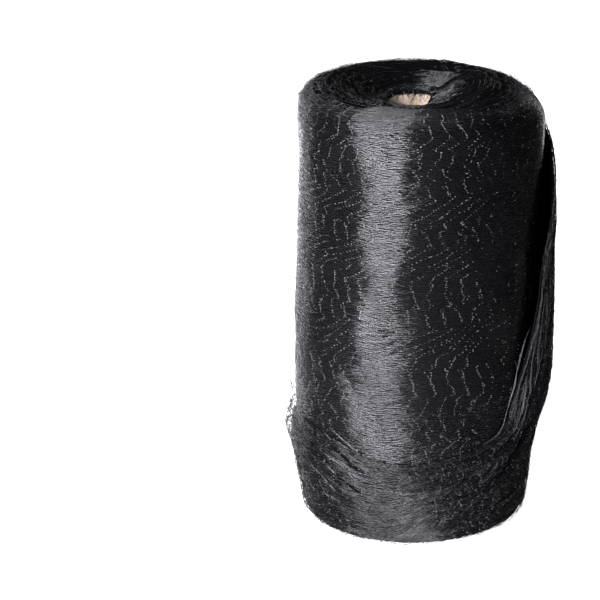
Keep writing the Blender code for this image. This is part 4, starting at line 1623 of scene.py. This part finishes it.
class NettingLapSettings(bpy.types.PropertyGroup):
    """The loose last turn."""

    threads: bpy.props.IntProperty(
        name="Lap Threads", description="Threads across the loose lap", default=150, min=20, max=400)
    diameter: bpy.props.FloatProperty(
        name="Lap Thread Diameter", description="Thickness of a thread of the lap",
        default=0.00038, min=0.0001, max=0.001, precision=5, unit="LENGTH")


class NettingCoreSettings(bpy.types.PropertyGroup):
    """The cardboard core."""

    wall: bpy.props.FloatProperty(
        name="Core Wall", description="Thickness of the tube's wall",
        default=0.004, min=0.001, max=0.01, precision=4, unit="LENGTH")
    pale: bpy.props.FloatVectorProperty(
        name="Pale Card", description="Colour of the bare card", subtype="COLOR", size=4,
        default=(0.330, 0.268, 0.200, 1.0), min=0.0, max=1.0)
    # The dark card colour also gives the painted shade in the creases.
    dark: bpy.props.FloatVectorProperty(
        name="Dark Card", description="Colour of its fibres and creases", subtype="COLOR", size=4,
        default=(0.130, 0.100, 0.070, 1.0), min=0.0, max=1.0)


class NettingStageSettings(bpy.types.PropertyGroup):
    """Camera, lights and floor."""

    distance: bpy.props.FloatProperty(
        name="Camera Distance", description="From the middle of the roll",
        default=2.6, min=1.0, max=10.0, unit="LENGTH")
    elevation: bpy.props.FloatProperty(
        name="Camera Elevation", description="Angle that the camera looks down at",
        default=math.radians(20.04), min=0.0, max=1.5, subtype="ANGLE")
    key: bpy.props.FloatProperty(
        name="Key Power", description="Power of the tall soft light at the front left",
        default=385.0, min=0.0, max=1000.0, subtype="POWER")
    rim: bpy.props.FloatProperty(
        name="Rim Power", description="Power of the soft light behind on the left",
        default=30.0, min=0.0, max=1000.0, subtype="POWER")
    back: bpy.props.FloatProperty(
        name="Back Power", description="Power of the weak light behind on the right",
        default=5.0, min=0.0, max=1000.0, subtype="POWER")


class NettingSettings(bpy.types.PropertyGroup):
    """All settings of the netting roll."""

    thread: bpy.props.PointerProperty(type=NettingThreadSettings)
    lap: bpy.props.PointerProperty(type=NettingLapSettings)
    core: bpy.props.PointerProperty(type=NettingCoreSettings)
    stage: bpy.props.PointerProperty(type=NettingStageSettings)


# Operators

class NETTING_OT_wound_skin(bpy.types.Operator):
    """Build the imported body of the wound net"""

    bl_idname = "netting.wound_skin"
    bl_label = "Wound Body"

    def execute(self, context):
        skin = build_wound_skin(skin_material(context.scene.netting_roll.thread))
        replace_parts(keep(skin), "net_roll")
        return {"FINISHED"}


class NETTING_OT_wound_net(bpy.types.Operator):
    """Lay the outer layer of knotted net round the wound body"""

    bl_idname = "netting.wound_net"
    bl_label = "Outer Net"

    def execute(self, context):
        settings = context.scene.netting_roll.thread
        form = wound_form()
        cover = Cover(lap_form(), margin=0.020)
        first = np.interp(0.072, form.height.mean(0)[form.side], form.run[form.side])
        last = form.run[form.top[0]] + 0.016
        layer = NetLayer(101, first, last, settings.spacing)
        lines, knots = wound_net(form, layer, cover, lift=-0.00035, swell=0.00026)
        share = np.array([len(line) for line in lines]).cumsum()
        halves = np.searchsorted(share, share[-1] / 2.0)
        for name, part in (("net_threads_low", lines[:halves]), ("net_threads_high", lines[halves:])):
            grow_threads(name, part, settings, "drawn_thread",
                         settings.diameter, waver=0.00025, scale=160.0, seed=3.0)
        foot = NetLayer(161, form.run[form.side[0]] + 0.002, first, settings.spacing)
        foot_cover = Cover(lap_form(), margin=0.008)
        foot_lines, foot_knots = wound_net(form, foot, foot_cover, lift=-0.00035, swell=0.00026)
        under = NetLayer(151, first, last, settings.spacing * 1.15)
        _, deep = wound_net(form, under, cover, lift=-0.00040, swell=0.00016)
        kept = np.random.default_rng(153).random(len(deep[0])) < 0.42
        knots = joined(knots, [part[kept] for part in deep], foot_knots)
        grow_knots("net_knots", knots, settings, settings.knot_height, spread=0.40, seed=5)
        strays = stray_threads(form, cover, seed=211, count=420, first=first, last=last)
        grow_threads("stray_threads", strays + foot_lines, settings, "drawn_thread",
                     0.00034, waver=0.0006, scale=120.0, seed=7.0)
        return {"FINISHED"}


class NETTING_OT_top_face(bpy.types.Operator):
    """Lay the scalloped layer edges, curls and draped threads on the top"""

    bl_idname = "netting.top_face"
    bl_label = "Top of the Roll"

    def execute(self, context):
        settings = context.scene.netting_roll.thread
        form = wound_form()
        radii = np.linspace(0.0345, 0.0985, 34)
        mouth = mouth_drape(form, seed=303, count=95)
        mouth += mouth_fringe(form, seed=304, count=190) + lip_threads(form, seed=306, count=200)
        groups = (
            ("top_selvedges", top_selvedges(form, seed=301, radii=radii), 0.00038, 11.0),
            ("top_curls", top_curls(form, seed=302, count=2300), 0.00036, 11.0),
            ("mouth_drape", mouth, 0.00034, 11.0),
            ("fold_sheaf", fold_sheaf(form, seed=305, count=210), 0.00036, 12.0),
        )
        for name, lines, diameter, seed in groups:
            grow_threads(name, lines, settings, "drawn_thread",
                         diameter, waver=0.0004, scale=200.0, seed=seed)
        return {"FINISHED"}


class NETTING_OT_loose_lap(bpy.types.Operator):
    """Build the loose last turn of the net with its threads and knots"""

    bl_idname = "netting.loose_lap"
    bl_label = "Loose Lap"

    def execute(self, context):
        settings = context.scene.netting_roll
        net, count, diameter = settings.thread, settings.lap.threads, settings.lap.diameter
        lap, slot = lap_form(), "loose_net_black"
        skin = keep(build_lap_skin(skin_material(net)))
        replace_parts(skin, "loose_lap")
        front, knots = lap_net(lap, 401, count, start_u=0.0, end_u=1.0, phase=0.0)
        behind, more_knots = lap_net(lap, 431, count, start_u=0.10, end_u=0.80, phase=0.5)
        loose = lap_edge_strands(lap, seed=411, count=24) + lap_curls(lap, seed=412, count=520)
        skins = finished_faces("wound_skin", "lap_skin")
        bundles = laid_strands(skins, seed=421)
        patch, patch_knots = open_patch(skins, seed=423)
        chains = chain_knots(skins, seed=427)
        extra = [
            grow_threads("lap_threads", front, net, "loose_thread",
                         diameter, waver=0.0003, scale=140.0, seed=13.0),
            grow_threads("lap_back_threads", behind, net, "loose_thread",
                         diameter, waver=0.0003, scale=140.0, seed=13.0),
            grow_knots("lap_knots", joined(knots, more_knots), net,
                       net.knot_height, spread=0.40, seed=9),
            grow_threads("lap_strands", loose, net, "loose_thread",
                         0.00036, waver=0.0005, scale=140.0, seed=15.0),
            # These strands' lighter finish partly paints the sheen of bright streaks.
            grow_threads("lap_bundles", bundles, net, "frayed_strand",
                         0.00030, waver=0.0006, scale=160.0, seed=17.0),
            grow_threads("open_meshes", patch, net, "loose_thread",
                         0.00034, waver=0.0006, scale=300.0, seed=19.0),
            grow_knots("open_mesh_knots", joined(patch_knots, chains), net,
                       net.knot_width, spread=0.35, seed=21),
        ]
        return {"FINISHED"}


class NETTING_OT_core(bpy.types.Operator):
    """Build the cardboard core"""

    bl_idname = "netting.core"
    bl_label = "Cardboard Core"

    def execute(self, context):
        settings = context.scene.netting_roll.core
        card = card_material("bare_card", settings.pale, settings.dark)
        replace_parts(keep(build_core(card, settings.wall)), "core_tube")
        return {"FINISHED"}


class NETTING_OT_stage(bpy.types.Operator):
    """Set the camera, the lights and the floor"""

    bl_idname = "netting.stage"
    bl_label = "Stage"

    def execute(self, context):
        settings = context.scene.netting_roll.stage
        camera = add_object("camera", bpy.data.cameras.new("camera"))
        aim(camera, -90.0, math.degrees(settings.elevation), settings.distance)
        camera.data.lens = 173.3
        camera.data.sensor_width = 36.0
        camera.data.shift_x = -0.1942
        camera.data.shift_y = 0.0037
        camera.data.dof.use_dof = False
        context.scene.camera = camera
        context.scene.view_settings.view_transform = "Standard"
        add_light("key", azimuth=-122.5, elevation=14.0, distance=1.7, size=(1.20, 1.5),
                  power=settings.key, colour=(0.945, 0.93, 1.0))
        add_light("rim", azimuth=135.0, elevation=0.0, distance=1.6, size=(1.4, 0.7),
                  power=settings.rim, colour=(0.95, 0.94, 1.0))
        add_light("back", azimuth=60.0, elevation=10.0, distance=1.6, size=(0.3, 1.2),
                  power=settings.back, colour=(0.96, 0.95, 1.0))
        build_world(dim=0.078)
        floor = bpy.data.meshes.new("floor")
        corners = [(FLOOR_HALF * x, FLOOR_HALF * y, 0.0)
                   for x, y in ((-1, -1), (1, -1), (1, 1), (-1, 1))]
        floor.from_pydata(corners, [], [(0, 1, 2, 3)])
        floor.materials.append(
            backdrop_material("pale_floor", diffuse=(0.55, 0.55, 0.55, 1.0), glow=0.93))
        ground = add_object("floor", floor)
        return {"FINISHED"}


STEPS = (
    NETTING_OT_stage,
    NETTING_OT_wound_skin,
    NETTING_OT_wound_net,
    NETTING_OT_top_face,
    NETTING_OT_loose_lap,
    NETTING_OT_core,
)


class NETTING_PT_roll(bpy.types.Panel):
    """Steps and settings of the netting roll"""

    bl_idname = "NETTING_PT_roll"
    bl_label = "Netting Roll"
    bl_space_type = "VIEW_3D"
    bl_region_type = "UI"
    bl_category = "Netting Roll"

    def draw(self, context):
        settings = context.scene.netting_roll
        for title, group in (("Net", settings.thread), ("Loose Lap", settings.lap),
                             ("Core", settings.core), ("Stage", settings.stage)):
            box = self.layout.box()
            box.label(text=title)
            for key in group.bl_rna.properties.keys():
                if key not in {"rna_type", "name"}:
                    box.prop(group, key)
        for step in STEPS:
            self.layout.operator(step.bl_idname)


CLASSES = (
    NettingThreadSettings,
    NettingLapSettings,
    NettingCoreSettings,
    NettingStageSettings,
    NettingSettings,
) + STEPS + (NETTING_PT_roll,)


def register():
    """Adds the settings, the steps and the panel."""
    for cls in CLASSES:
        bpy.utils.register_class(cls)
    bpy.types.Scene.netting_roll = bpy.props.PointerProperty(type=NettingSettings)


def unregister():
    """Takes them away again."""
    del bpy.types.Scene.netting_roll
    for cls in reversed(CLASSES):
        bpy.utils.unregister_class(cls)


def main():
    """Runs all steps."""
    register()
    bpy.ops.netting.stage()
    bpy.ops.netting.wound_skin()
    bpy.ops.netting.wound_net()
    bpy.ops.netting.top_face()
    bpy.ops.netting.loose_lap()
    bpy.ops.netting.core()


if __name__ == "__main__":
    main()
